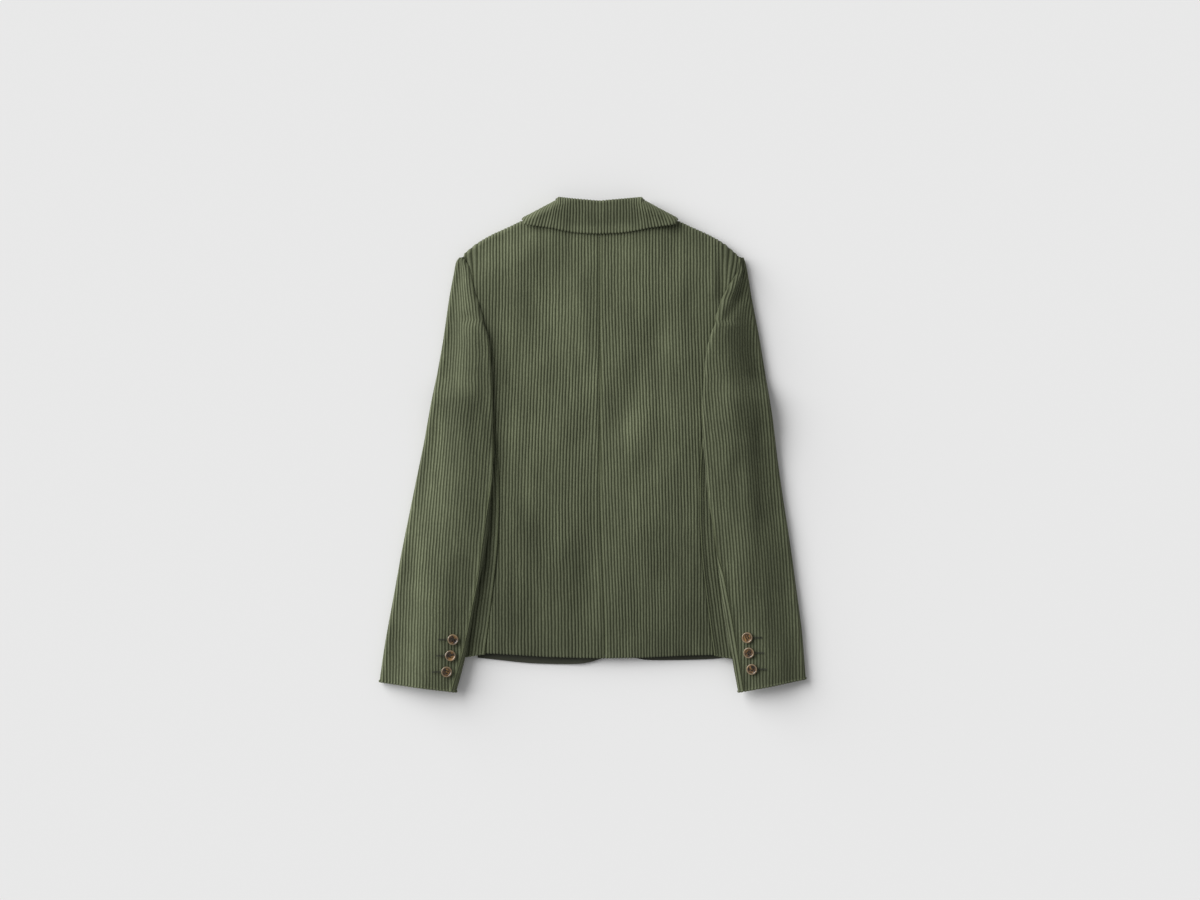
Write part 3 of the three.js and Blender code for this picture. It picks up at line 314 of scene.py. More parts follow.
def sleeve_section(side, y):
    """Across a sleeve at one height: over the top from the outer fold, and under it."""
    key = round(y, 3)
    if key in side.sections:
        return side.sections[key]
    head = clamp((SLEEVE_TOP_Y - y) / SLEEVE_HEAD_ROLL, 0, 1)
    squash = max(0.3, math.sqrt(1 - (1 - head) ** 2))
    outer = side.sleeve_outer(y)
    is_open = y > ARMHOLE_OPEN_Y
    inner = side.back_seam(y) if is_open else side.sleeve_inner(y)
    arm = armhole_under_sleeve(y) if y > UNDERARM_Y else side.edge(y) - 2
    overhang = 0 if is_open else max(arm - inner, 0)
    turned = math.acos(1 - min(overhang / INNER_FOLD_RADIUS, 1))
    width = outer - inner
    bed = sleeve_bed(side, inner + min(overhang, INNER_FOLD_RADIUS), y)
    middle = bed + INNER_FOLD_RADIUS * math.sin(turned)
    inner_reach = min(INNER_FOLD_RADIUS + 1, width * 0.35)
    free_rise = LEAST_FOLD_RISE + (INNER_FOLD_RISE - LEAST_FOLD_RISE) * smooth(-250, -ARMHOLE_OPEN_Y, -y)
    inner_rise = free_rise * (max(squash, 0.5) if is_open else 1)
    outer_reach = min(OUTER_FOLD_REACH, width * 0.4)
    low = sleeve_bed(side, outer - outer_reach, y) * (1 - smooth(60, 100, y) if y > 60 else 1)
    floor_rise = SLEEVE_HEAD_MIDDLE * (1 - squash)
    outer_low = low + floor_rise
    outer_high = low + SLEEVE_HEAD_MIDDLE + (OUTER_FOLD_HEIGHT - SLEEVE_HEAD_MIDDLE) * squash
    outer_middle = (outer_low + outer_high) / 2
    inner_high = middle + inner_rise
    crown = SLEEVE_CROWN * smooth(20, 110, width)

    turns = [k / ARC_STEPS * math.pi / 2 for k in range(ARC_STEPS + 1)]
    over = fold_arc(outer, -outer_reach, outer_middle, outer_high - outer_middle, turns)
    start = outer - outer_reach
    end = inner + inner_reach
    for k in range(1, SPAN_STEPS + 1):
        f = k / SPAN_STEPS
        v = start + (end - start) * f
        rise = fold_rise(SLEEVE_FOLDS, CENTRE_X + side.sign * v, y) * math.sin(math.pi * f)
        arch = crown * math.sin(math.pi * f) ** 2
        over.append((v, outer_high + (inner_high - outer_high) * smooth(0, 1, f) + arch + rise))
    over += fold_arc(inner, inner_reach, middle, inner_rise, turns[-2::-1])
    fold_length = measured(over)[1][-1]
    if turned > 0.02:
        back_turns = [k / ARC_STEPS * turned for k in range(1, ARC_STEPS + 1)]
        over += fold_arc(inner, INNER_FOLD_RADIUS, middle, -INNER_FOLD_RADIUS, back_turns)
    if overhang > INNER_FOLD_RADIUS:
        for k in range(1, FAR_STEPS + 1):
            v = inner + INNER_FOLD_RADIUS + (overhang - INNER_FOLD_RADIUS) * (k / FAR_STEPS)
            over.append((v, sleeve_bed(side, v, y)))

    under = fold_arc(outer, -outer_reach, outer_middle, outer_low - outer_middle, turns)
    front = armhole_front(y) + SEAM_GAP / 2 if y > UNDERARM_Y else arm
    stop = min(front, start - 0.5)
    for k in range(1, FAR_STEPS + 1):
        v = start + (stop - start) * (k / FAR_STEPS)
        if y > UNDERARM_Y:
            z = low + (sleeve_bed(side, v, UNDERARM_Y) - low) * (1 - smooth(56, 70, y)) * (k / FAR_STEPS)
        else:
            z = sleeve_bed(side, v, y)
        under.append((v, z + floor_rise))
    section = {"over": measured(over), "under": measured(under), "fold": fold_length, "inner": inner}
    side.sections[key] = section
    return section


def sleeve_seams(side, y):
    """Places of the back and front seams, and the ends, along a sleeve section."""
    section = sleeve_section(side, y)
    over_total = section["over"][1][-1]
    under_total = section["under"][1][-1]
    low = sleeve_section(side, min(y, UNDERARM_Y))
    low_over = side.sleeve_seam(min(y, UNDERARM_Y))
    low_front = min(sleeve_front_seam(y) + OUTER_FOLD_REACH, low["under"][1][-1] - 1)
    if y <= UNDERARM_Y:
        return section["fold"] - low_over, low_front, over_total, under_total
    top = sleeve_section(side, SEAM_TOP_Y)
    t = clamp((y - UNDERARM_Y) / (SEAM_TOP_Y - UNDERARM_Y), 0, 1)
    top_over = top["fold"] - top["over"][1][-1] + LOBE_TIP
    front = low_front + (top["under"][1][-1] - LOBE_TIP - low_front) * t
    back = section["fold"] - low_over - (top_over - low_over) * t
    return min(back, over_total - LOBE_TIP), min(front, under_total - LOBE_TIP), over_total, under_total


def sleeve_point(side, a, y):
    section = sleeve_section(side, y)
    v, z = point_along(section["over"], a) if a >= 0 else point_along(section["under"], -a)
    slant = side.cuff_slant * smooth(180, -CUFF_Y, -y)
    return Vector((CENTRE_X + side.sign * v, y + slant * (v - section["inner"]), z))


def wale_profile(across):
    """Height of the pile across one wale, 0 in the groove and 1 on top."""
    t = abs((across % 1.0) * 2 - 1)
    return 0.5 * (1 - t * t) + 0.25 * (1 + math.cos(math.pi * t))


def wander(x, y):
    """Small sideways drift of a wale along its length."""
    return 0.55 * noise.noise(Vector((x / 11, y / 24, 8.1))) + 0.35 * noise.noise(Vector((x / 5, y / 9, 2.2)))


def pile_height(x, y):
    """How high the pile stands, brushed up in some places and flattened in others."""
    broad = noise.noise(Vector((x / 30, y / 70, 5.5)))
    return 1 + 0.3 * broad + 0.16 * noise.noise(Vector((x / 3.5, y / 7, 6.4)))


def painted_shade_and_nap(x, y):
    """Brightness of the cloth: painted shade, darker low on the back, on the far (right) sleeve and the right
    of the back, and on the inner part of the left sleeve, over random bands of brushed pile and a darker top
    middle of the collar.
    """
    away = abs(x - CENTRE_X)
    # painted shade: darker towards the bottom of the back, where the light falls off
    low = 0.29 * smooth(-40, 250, -y) * (1 - smooth(140, 180, away))
    # painted shade: the right sleeve and the right of the back, turned away from the light, painted darker
    far = 0.23 * smooth(165, 185, x) + 0.09 * smooth(20, 160, x) * (1 - smooth(165, 185, x))
    # painted shade: darker over the inner part of the left sleeve and the back beside it
    near = 0.11 * smooth(135, 150, -x) * (1 - smooth(195, 225, -x))
    # random bands along the wales: the pile's own uneven tone
    band = 0.13 * noise.noise(Vector((x / 9, y / 120, 3.1)))
    band += 0.10 * noise.noise(Vector((x / 34, y / 60, 9.2)))
    # darker at the top middle, over the collar
    collar = 0.2 * smooth(300, 312, y) * (1 - smooth(30, 70, away))
    return 1.03 - low - far - near - collar + band


def crease_noise(x, y, z):
    """Small unevenness that all layers share, so that they stay clear of each other."""
    broad = noise.noise(Vector((x / 62, y / 95, 0.3)))
    fine = noise.noise(Vector((x / 19, y / 34, 4.7)))
    return (0.95 * broad + 0.38 * fine) * smooth(3, 12, z)


def edge_round(away):
    """How far a folded edge turns down close to its end."""
    t = 1 - clamp(away / 1.8, 0, 1)
    return -1.5 * (1 - math.sqrt(max(1 - t * t, 0)))


def scallop(wale, away):
    """How far the end of a wale stands out past the groove beside it."""
    return 0.9 * wale * (1 - smooth(0, 4, away))


def seam_dip(away, deep=1.6, wide=2.2):
    return -deep * math.exp(-(away / wide) ** 2) if away < 4 * wide else 0.0


# Meshes

def select_only(*pieces):
    """Select these pieces alone and make the first one active."""
    bpy.ops.object.select_all(action="DESELECT")
    for piece in pieces:
        piece.select_set(True)
    if pieces:
        bpy.context.view_layer.objects.active = pieces[0]


def edit_all(step, **settings):
    """Run one mesh operator on all of the active piece's mesh."""
    bpy.ops.object.mode_set(mode="EDIT")
    bpy.ops.mesh.select_all(action="SELECT")
    step(**settings)
    bpy.ops.object.mode_set(mode="OBJECT")


def join_pieces(pieces, name):
    """Make one named piece of several."""
    select_only(*pieces)
    bpy.ops.object.join()
    piece = bpy.context.object
    piece.name = name
    return piece


def apply_modifier(piece, name, kind, **settings):
    """Add a modifier, set its values and apply it."""
    modifier = piece.modifiers.new(name, kind)
    for key, value in settings.items():
        setattr(modifier, key, value)
    bpy.ops.object.modifier_apply(modifier=modifier.name)


def dress(piece, material):
    """Give a piece one material."""
    piece.data.materials.clear()
    piece.data.materials.append(material)


def apart(line):
    """For each point of a line, the nearest ones before and after it that stand apart from it."""
    last = len(line) - 1
    before = []
    k = 0
    for i, point in enumerate(line):
        while k + 1 < i and (line[k + 1] - point).length > POINTS_APART:
            k += 1
        before.append(k)
    after = [last] * len(line)
    k = last
    for i in range(last, -1, -1):
        while k - 1 > i and (line[k - 1] - line[i]).length > POINTS_APART:
            k -= 1
        after[i] = k
    return before, after


def grid_points(rows, count, place):
    """Points of a cloth grid.

    place gives a point, its lift along the normal, its height on the wale from 0 to 1,
    how much of the pile shows there, and how far it is from the nearest seam.
    """
    base = [[place(row, i) for i in range(count)] for row in rows]
    columns = [apart([base[j][i][0] for j in range(len(rows))]) for i in range(count)]
    points = []
    pile = []
    nap_and_painted_shade = []
    for j in range(len(rows)):
        before, after = apart([cell[0] for cell in base[j]])
        for i in range(count):
            p, dip, wale, pile_share, free = base[j][i]
            across = base[j][after[i]][0] - base[j][before[i]][0]
            down = base[columns[i][1][j]][i][0] - base[columns[i][0][j]][i][0]
            stand = wale * pile_share * pile_height(p.x, p.y) * bpy.context.scene.jacket_sizes.wale_height
            aside = across.normalized() * (wander(p.x, p.y) * pile_share * smooth(0, 6, free))
            points.append((p + aside, across.cross(down).normalized(), dip + stand))
            # the wale value sets the painted groove shade and tip highlight, faded out near seams and edges
            pile.append(0.5 + (wale - 0.5) * smooth(0, 2.5, free))
            # painted shade and the pile's own uneven tone at each point
            nap_and_painted_shade.append(painted_shade_and_nap(p.x, p.y))
    return points, pile, nap_and_painted_shade


def grid_sheet(name, rows, count, place, facing):
    """A sheet of cloth from a grid primitive, shaped by moving its points."""
    select_only()
    bpy.ops.mesh.primitive_grid_add(x_subdivisions=count - 1, y_subdivisions=len(rows) - 1, size=1)
    sheet = bpy.context.object
    sheet.name = name
    sheet.data.name = name
    points, pile, nap_and_painted_shade = grid_points(rows, count, place)
    if len(points) != len(sheet.data.vertices):
        raise RuntimeError(f"{name}: the grid has {len(sheet.data.vertices)} points, not {len(points)}")
    flat = []
    for p, normal, lift in points:
        flat.extend((p + normal * (lift * facing)) * MM)
    sheet.data.vertices.foreach_set("co", flat)
    # both attributes carry painted light: the wale one the painted groove shade and tip highlight, the other
    # one painted shade over the cloth
    for kind, values in (("wale", pile), ("nap_and_painted_shade", nap_and_painted_shade)):
        sheet.data.attributes.new(kind, "FLOAT", "POINT").data.foreach_set("value", values)
    sheet.data.update()
    edit_all(bpy.ops.mesh.remove_doubles, threshold=MERGE_DISTANCE)
    edit_all(bpy.ops.mesh.dissolve_degenerate, threshold=LEAST_EDGE)
    return sheet


def join_sheets(sheets, name):
    """Make one cloth of several sheets that meet."""
    sheet = join_pieces(sheets, name)
    sheet.data.name = name
    edit_all(bpy.ops.mesh.remove_doubles, threshold=MERGE_DISTANCE)
    return sheet


def flip(sheet):
    select_only(sheet)
    edit_all(bpy.ops.mesh.flip_normals)


def face_up(sheet):
    """Turn an open sheet's faces so that most of them look up."""
    if sum(face.normal.z * face.area for face in sheet.data.polygons) < 0:
        flip(sheet)


def recalculate(sheet):
    """Turn the faces so that the highest one looks up."""
    select_only(sheet)
    edit_all(bpy.ops.mesh.normals_make_consistent, inside=False)
    top = max((f for f in sheet.data.polygons if abs(f.normal.z) > 0.7), key=lambda f: f.center.z)
    if top.normal.z < 0:
        flip(sheet)


def thicken(sheet, wall, material):
    """Give a sheet its wall, inwards from its outer face."""
    select_only(sheet)
    apply_modifier(sheet, "Wall", "SOLIDIFY", thickness=wall * MM, offset=-1, use_even_offset=False)
    bpy.ops.object.shade_smooth_by_angle(angle=math.radians(50))
    dress(sheet, material)


# Materials

def linear(hex_colour):
    """sRGB hex to linear red, green, blue and alpha."""
    parts = [int(hex_colour[i:i + 2], 16) / 255 for i in (1, 3, 5)]
    return [c / 12.92 if c <= 0.04045 else ((c + 0.055) / 1.055) ** 2.4 for c in parts] + [1.0]


def add_node(tree, kind, settings=None, links=None):
    """Add a node, set its values and link its inputs."""
    node = tree.nodes.new(kind)
    for key, value in (settings or {}).items():
        if hasattr(node, key):
            setattr(node, key, value)
        else:
            node.inputs[key].default_value = value
    for key, source in (links or {}).items():
        tree.links.new(source, node.inputs[key])
    return node


def new_material(name):
    material = bpy.data.materials.new(name)
    material.use_nodes = True
    tree = material.node_tree
    return material, tree, tree.nodes["Principled BSDF"]


def object_noise(tree, scale, detail, stretch=1.0, **more):
    """Noise in a piece's own space, drawn out along the piece where stretch is below 1."""
    place = add_node(tree, "ShaderNodeTexCoord")
    drawn = add_node(tree, "ShaderNodeMapping", {"Scale": (1.0, stretch, 1.0)},
                     {"Vector": place.outputs["Object"]})
    return add_node(tree, "ShaderNodeTexNoise", {"Scale": scale, "Detail": detail, **more},
                    {"Vector": drawn.outputs["Vector"]})


def brightness(tree, source, reach, darkest, palest):
    """Turn a noise, within reach of its middle, into a factor of brightness."""
    return add_node(tree, "ShaderNodeMapRange",
                    {"From Min": 0.5 - reach, "From Max": 0.5 + reach, "To Min": darkest, "To Max": palest},
                    {"Value": source.outputs["Fac"]}).outputs["Result"]


def multiply(tree, first, second):
    return add_node(tree, "ShaderNodeMath", {"operation": "MULTIPLY"}, {0: first, 1: second}).outputs["Value"]


def colour_ramp(tree, source, low, middle, high):
    """Colours along a factor: each stop is its place and its sRGB hex."""
    ramp = add_node(tree, "ShaderNodeValToRGB", {}, {"Fac": source.outputs["Fac"]})
    stops = ramp.color_ramp.elements
    for stop, (place, colour) in ((stops[0], low), (stops[1], high)):
        stop.position = place
        stop.color = linear(colour)
    stops.new(middle[0]).color = linear(middle[1])
    return ramp.outputs["Color"]


def relief(tree, shader, source, strength, distance):
    """Small bumps from a noise."""
    bump = add_node(tree, "ShaderNodeBump", {"Strength": strength, "Distance": distance},
                    {"Height": source.outputs["Fac"]})
    tree.links.new(bump.outputs["Normal"], shader.inputs["Normal"])


def corduroy_material(name, top, groove, tip):
    """Cut-pile cotton: brushed wale tops painted pale, a painted highlight, over grooves painted dark,
    painted shade; partly the pile's own colour.
    """
    material, tree, shader = new_material(name)
    pile = add_node(tree, "ShaderNodeAttribute", {"attribute_name": "wale"})
    # painted shade over the whole cloth, from the factor made at each point
    nap_and_painted_shade = add_node(tree, "ShaderNodeAttribute", {"attribute_name": "nap_and_painted_shade"})
    # crushed and brushed patches of pile, about 40 mm across
    patches = object_noise(tree, 34.0, 3.0, 0.4, Roughness=0.6)
    # tufts of fibre along the wales, about 1.5 mm long
    tufts = object_noise(tree, 900.0, 2.0, 0.35, Roughness=0.6)
    # from groove to tip: painted shade in the grooves and a painted highlight on the tips, partly the pile's
    # own colour
    ramp = colour_ramp(tree, pile, (0.0, groove), (0.5, top), (1.0, tip))
    both = multiply(tree, brightness(tree, patches, 0.2, 0.84, 1.14),
                    brightness(tree, tufts, 0.25, 0.78, 1.2))
    # the colour is darkened by the painted shade factor and by the random patches and tufts
    colour = add_node(tree, "ShaderNodeVectorMath", {"operation": "SCALE"},
                      {0: ramp, "Scale": multiply(tree, both, nap_and_painted_shade.outputs["Fac"])})
    tree.links.new(colour.outputs["Vector"], shader.inputs["Base Color"])
    relief(tree, shader, tufts, 0.35, 0.0004)
    shader.inputs["Roughness"].default_value = 0.95
    shader.inputs["Specular IOR Level"].default_value = 0.15
    shader.inputs["Sheen Weight"].default_value = 0.22
    shader.inputs["Sheen Roughness"].default_value = 0.45
    shader.inputs["Sheen Tint"].default_value = linear("#c9cdb4")
    return material


def plain_cloth_material(name, colour_hex, thread=0.7):
    """Plain woven cotton: matt, with a fine over-and-under weave."""
    material, tree, shader = new_material(name)
    weave = object_noise(tree, 1000 / thread, 1.0)
    colour = add_node(tree, "ShaderNodeVectorMath", {"operation": "SCALE"},
                      {"Scale": brightness(tree, weave, 0.2, 0.75, 1.2)})
    colour.inputs[0].default_value = linear(colour_hex)[:3]
    tree.links.new(colour.outputs["Vector"], shader.inputs["Base Color"])
    relief(tree, shader, weave, 0.3, 0.0002)
    shader.inputs["Roughness"].default_value = 0.85
    shader.inputs["Sheen Weight"].default_value = 0.1
    return material


def horn_material():
    """Horn-look polyester resin: mottled amber and brown under a polished face."""
    material, tree, shader = new_material("Horn-look resin, polished")
    rim = add_node(tree, "ShaderNodeAttribute", {"attribute_name": "wale"})
    # streaks of about 3 mm, as in horn
    streaks = object_noise(tree, 170.0, 3.0, Distortion=1.0)
    ramp = colour_ramp(tree, streaks, (0.36, "#1f150d"), (0.5, "#46301a"), (0.68, "#8e6a38"))
    pale = add_node(tree, "ShaderNodeMix", {"data_type": "RGBA"}, {"Factor": rim.outputs["Fac"]})
    tree.links.new(ramp, pale.inputs[6])
    pale.inputs[7].default_value = linear("#8c7a60")
    tree.links.new(pale.outputs[2], shader.inputs["Base Color"])
    shader.inputs["Roughness"].default_value = 0.28
    shader.inputs["Coat Weight"].default_value = 0.4
    shader.inputs["Coat Roughness"].default_value = 0.15
    return material


def floor_material():
    """Matt white paint, so that the floor stays even and pale."""
    material, tree, shader = new_material("Matt white paint")
    relief(tree, shader, object_noise(tree, 900.0, 1.0), 0.03, 0.0002)
    shader.inputs["Base Color"].default_value = linear("#e6e6e6")
    shader.inputs["Roughness"].default_value = 0.9
    shader.inputs["Specular IOR Level"].default_value = 0.1
    return material


MATERIALS = {}


def materials():
    if not MATERIALS:
        looks = bpy.context.scene.jacket_looks
        MATERIALS["corduroy"] = corduroy_material("Cut-pile cotton corduroy", looks.top, looks.groove,
                                                  looks.tip)
        MATERIALS["corduroy_inside"] = plain_cloth_material("Plain woven cotton, dark olive", looks.inside)
        MATERIALS["thread"] = plain_cloth_material("Twisted polyester thread", looks.thread, 0.4)
        MATERIALS["button"] = horn_material()
        MATERIALS["floor"] = floor_material()
    return MATERIALS


def keep_as_sheet(sheet, node, slot):
    """Give a cloth its wall and material, hang it under the root body and hide the model's part that it
    replaces.
    """
    thicken(sheet, CLOTH_WALLS[slot], materials()[slot])
    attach(sheet, "root")
    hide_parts(node)


# Pieces

def millimetres(name, description, default, least):
    return bpy.props.FloatProperty(name=name, description=description + ", in millimetres",
                                   default=default, min=least)


def colour_setting(name, description, default):
    return bpy.props.StringProperty(name=name, description="Colour " + description, default=default)


class JacketSizes(bpy.types.PropertyGroup):
    """Sizes of the cloth that a user may change."""

    wale_pitch: millimetres("Wale pitch", "From one wale to the next", 4.4, 1)
    wale_height: millimetres("Wale height", "Height of the pile over its grooves", 0.9, 0)
    wale_points: bpy.props.IntProperty(name="Points a wale", description="Points across a wale",
                                       default=6, min=2)
    row_step: millimetres("Row step", "Mesh step along the wales", 5.5, 1)
    button: millimetres("Button diameter", "Across a sleeve button", 15.0, 5)


class JacketLooks(bpy.types.PropertyGroup):
    """Colours of the cloth and its trims, as sRGB hex."""

    # the tip colour is a painted highlight and the groove colour painted shade; the side colour is the pile's
    # own
    tip: colour_setting("Wale tip", "on top of the pile", "#6b705a")
    top: colour_setting("Wale side", "of the pile's sides", "#565b44")
    groove: colour_setting("Groove", "between the wales", "#2b2e20")
    inside: colour_setting("Inside", "of the cloth's plain inside", "#34362a")
    thread: colour_setting("Thread", "of the sewing thread", "#26281c")


def spread(start, end, step):
    count = max(int(abs(end - start) / step), 1)
    return [start + (end - start) * k / count for k in range(count + 1)]


def back_edge(side, y):
    armhole = smooth(SEAM_TOP_Y, ARMHOLE_OPEN_Y, y)
    return side.back_seam(y) - SEAM_GAP / 2 + 2.4 * armhole


def make_back(side):
    """One back panel, its wales leaning into the centre seam, rolled over the shoulder."""
    sizes = bpy.context.scene.jacket_sizes
    step = sizes.wale_pitch / sizes.wale_points
    count = int(BACK_WIDTH / step)
    rows = [(angle - 90) / 180 for angle in (-90, -68, -45, -22, 0, 20, 40, 60, 76)]
    rows += spread(0, 1 - 3 / BACK_LENGTH, sizes.row_step / BACK_LENGTH)
    rows += [1 - away / BACK_LENGTH for away in EDGE_ROWS]

    def lean(y):
        return 10 * smooth(-130, 250, y)

    def corner(v, y):
        return -9 * smooth(166, 192, v) * smooth(195, 272, y)

    def top_of(v):
        return shoulder_line(v) - SHOULDER_FOLD * smooth(72, 80, v)

    def y_at(v, down):
        hem = side.back_hem(v)
        return hem + (top_of(v) - hem) * (1 - down)

    def place(row, i):
        down = max(row, 0)
        v = 80.0
        for _ in range(7):
            y = y_at(v, down)
            v = clamp(i * step - lean(y) - corner(v, y), SEAM_GAP / 2, back_edge(side, y))
        y = y_at(v, down)
        high = body_height(side, v, y)
        x = back_x(side, v, y)
        if v < 73:
            row = down
        if row >= 0:
            p = Vector((x, y, high))
        else:
            turn = math.radians(90 + 180 * row * smooth(72, 80, v))
            p = Vector((x, y + SHOULDER_FOLD * math.cos(turn), high / 2 * (1 + math.sin(turn))))
        wale = wale_profile((v + lean(y) + corner(v, y)) / sizes.wale_pitch)
        to_seam = min(v, back_edge(side, y) - v)
        lift = seam_dip(v, 1.3, 2.4) + seam_dip(back_edge(side, y) - v) + crease_noise(x, y, p.z)
        lift += edge_round((1 - down) * BACK_LENGTH)
        p.y -= scallop(wale, (1 - down) * BACK_LENGTH)
        if row <= -0.9:
            return p, 0, wale, 0, to_seam
        return p, lift, wale, 1, to_seam

    sheet = grid_sheet(f"back_{side.name}_cloth", rows, count, place, -side.sign)
    face_up(sheet)
    keep_as_sheet(sheet, f"back_{side.name}", "corduroy")


def side_section(side, y):
    edge = side.edge(y)
    start = side.back_seam(y) + SEAM_GAP / 2
    low = y <= UNDERARM_Y - 3
    half = rim_height(y) / 2
    back_end = edge if low else max(start + LOBE_TIP, min(armhole_under_sleeve(y), edge))
    front_start = front_side_seam(y) + SEAM_GAP / 2
    front_end = edge if low else max(front_start + LOBE_TIP, armhole_front(y) - SEAM_GAP)
    back = []
    front = []
    for k in range(SIDE_STEPS + 1):
        f = math.sin(k / SIDE_STEPS * math.pi / 2)
        v = start + (back_end - start) * f
        back.append((v, body_height(side, v, y)))
        v = front_start + (front_end - front_start) * f
        reach = clamp((edge - v) / half, 0, 1)
        front.append((v, half * (1 - math.sqrt(1 - (1 - reach) ** 2))))
    return measured(back), measured(front)


def make_side(side):
    """One side panel, from the side back seam round the side to the front."""
    sizes = bpy.context.scene.jacket_sizes
    step = sizes.wale_pitch / sizes.wale_points
    fine = int(44 / step)
    rows = spread(SEAM_TOP_Y, UNDERARM_Y + 2, 4) + spread(UNDERARM_Y - 3, HEM_Y + 3, sizes.row_step)
    rows += [HEM_Y + away for away in (1.8, 1.2, 0.6, 0)]
    sections = {}

    def section_at(y):
        if y not in sections:
            sections[y] = side_section(side, y)
        return sections[y]

    def point(line, along, y):
        v, z = point_along(line, along)
        hem = side.back_hem(v) - HEM_Y
        return Vector((CENTRE_X + side.sign * v, y + hem * smooth(230, -HEM_Y, -y), z))

    def place_back(y, i):
        line = section_at(y)[0]
        total = line[1][-1]
        if i < fine:
            along = min(i * step, max(total - SIDE_ROLL, 0))
        else:
            along = total - min(SIDE_ROLL, total) * (1 - (i - fine + 1) / SIDE_ROLL_COLUMNS)
        p = point(line, along, y)
        wale = wale_profile(along / sizes.wale_pitch)
        p.y -= scallop(wale, y - HEM_Y)
        lift = seam_dip(along) + crease_noise(p.x, p.y, p.z) + edge_round(y - HEM_Y)
        return p, lift * smooth(0, 1.5, total - along), wale, smooth(0, 12, total - along), along

    def place_front(y, i):
        line = section_at(y)[1]
        p = point(line, line[1][-1] * (1 - (i / 27) ** 1.6), y)
        return p, 0, 0.4, 0, 0

    back = grid_sheet("side back half", rows, fine + SIDE_ROLL_COLUMNS, place_back, side.sign)
    front = grid_sheet("side front half", rows, 28, place_front, side.sign)
    sheet = join_sheets([back, front], f"side_{side.name}_cloth")
    recalculate(sheet)
    keep_as_sheet(sheet, f"side_{side.name}", "corduroy")


def make_front(side):
    """One front, flat on the floor, the left one lapped over the right one."""
    foot = FRONT_FOLD_FOOT[side.sign]

    def inner_at(y):
        if y <= FRONT_FOLD_Y:
            return side.front_edge(y)
        return foot + (FRONT_FOLD_TOP - foot) * (y - FRONT_FOLD_Y) / FRONT_FOLD_LENGTH

    def outer_at(y):
        armhole = armhole_front(y) - 4 * SEAM_GAP - 3.5 * (1 - smooth(SEAM_TOP_Y, 215, y))
        return armhole if y > SEAM_TOP_Y else front_side_seam(y) - 2.5 * SEAM_GAP

    def y_at(v, up):
        hem = side.front_hem(v)
        top = shoulder_line(v) - 2 * SHOULDER_FOLD - SEAM_GAP - 1
        return hem + (top - hem) * up

    def place(up, i):
        f = i / 23
        v = 100.0
        for _ in range(30):
            y = y_at(v, up)
            v += (inner_at(y) + (outer_at(y) - inner_at(y)) * f - v) * 0.5
        y = y_at(v, up)
        lap = FRONT_OVERLAP_RISE * smooth(-52, -22, -v) if side.sign < 0 else 0
        return Vector((CENTRE_X + side.sign * v, y, 2 + lap)), 0, 0.3, 0, 0

    rows = spread(1, 0.02, 0.02) + [0.01, 0.004, 0]
    sheet = grid_sheet(f"front_{side.name}_cloth", rows, 24, place, 1)
    face_up(sheet)
    keep_as_sheet(sheet, f"front_{side.name}", "corduroy_inside")


def sleeve_rows(sizes, top):
    rows = [y for y in (262, 261.4, 260.6, 259.5, 258, 256, 253.5, 250) if y <= top]
    rows += spread(min(246, top), CUFF_Y + 3, sizes.row_step)
    return rows + [CUFF_Y + away for away in EDGE_ROWS]


def make_top_sleeve(side):
    """The upper cut piece of one sleeve, from its front seam under the outer fold to its back seam."""
    sizes = bpy.context.scene.jacket_sizes
    step = sizes.wale_pitch / sizes.wale_points
    floor = [-46, -34, -26, -20, -15, -11, -8, -5.5, -3.6, -2]
    base = len(floor)
    count = base + int(172 / step)
    rows = sleeve_rows(sizes, 262)

    def place(y, i):
        back, front, over, under = sleeve_seams(side, y)
        if y > SEAM_TOP_Y:
            low, high = -under + 0.4, over - 0.4
        else:
            low, high = -front + SEAM_GAP / 2, min(back - SEAM_GAP, over - 0.4)
        shift = side.wale_shift(y)
        a = floor[i] if i < base else max((i - base) * step - shift, floor[-1] + 0.1)
        a = low if i == 0 else clamp(a, low, high)
        p = sleeve_point(side, a, y)
        wale = wale_profile((a + shift) / sizes.wale_pitch)
        deep = 1.2 + 1.0 * smooth(165, 185, y) * (1 - smooth(205, 230, y))
        lift = seam_dip(high - a, deep, 2.6) + crease_noise(p.x, p.y, p.z) + edge_round(y - CUFF_Y)
        p.y -= scallop(wale, y - CUFF_Y)
        return p, lift * smooth(0.5, 4, p.z), wale, smooth(0, 7, a), min(high - a, max(a, 0))

    sheet = grid_sheet(f"top_sleeve_{side.name}_cloth", rows, count, place, -side.sign)
    recalculate(sheet)
    keep_as_sheet(sheet, f"top_sleeve_{side.name}", "corduroy")


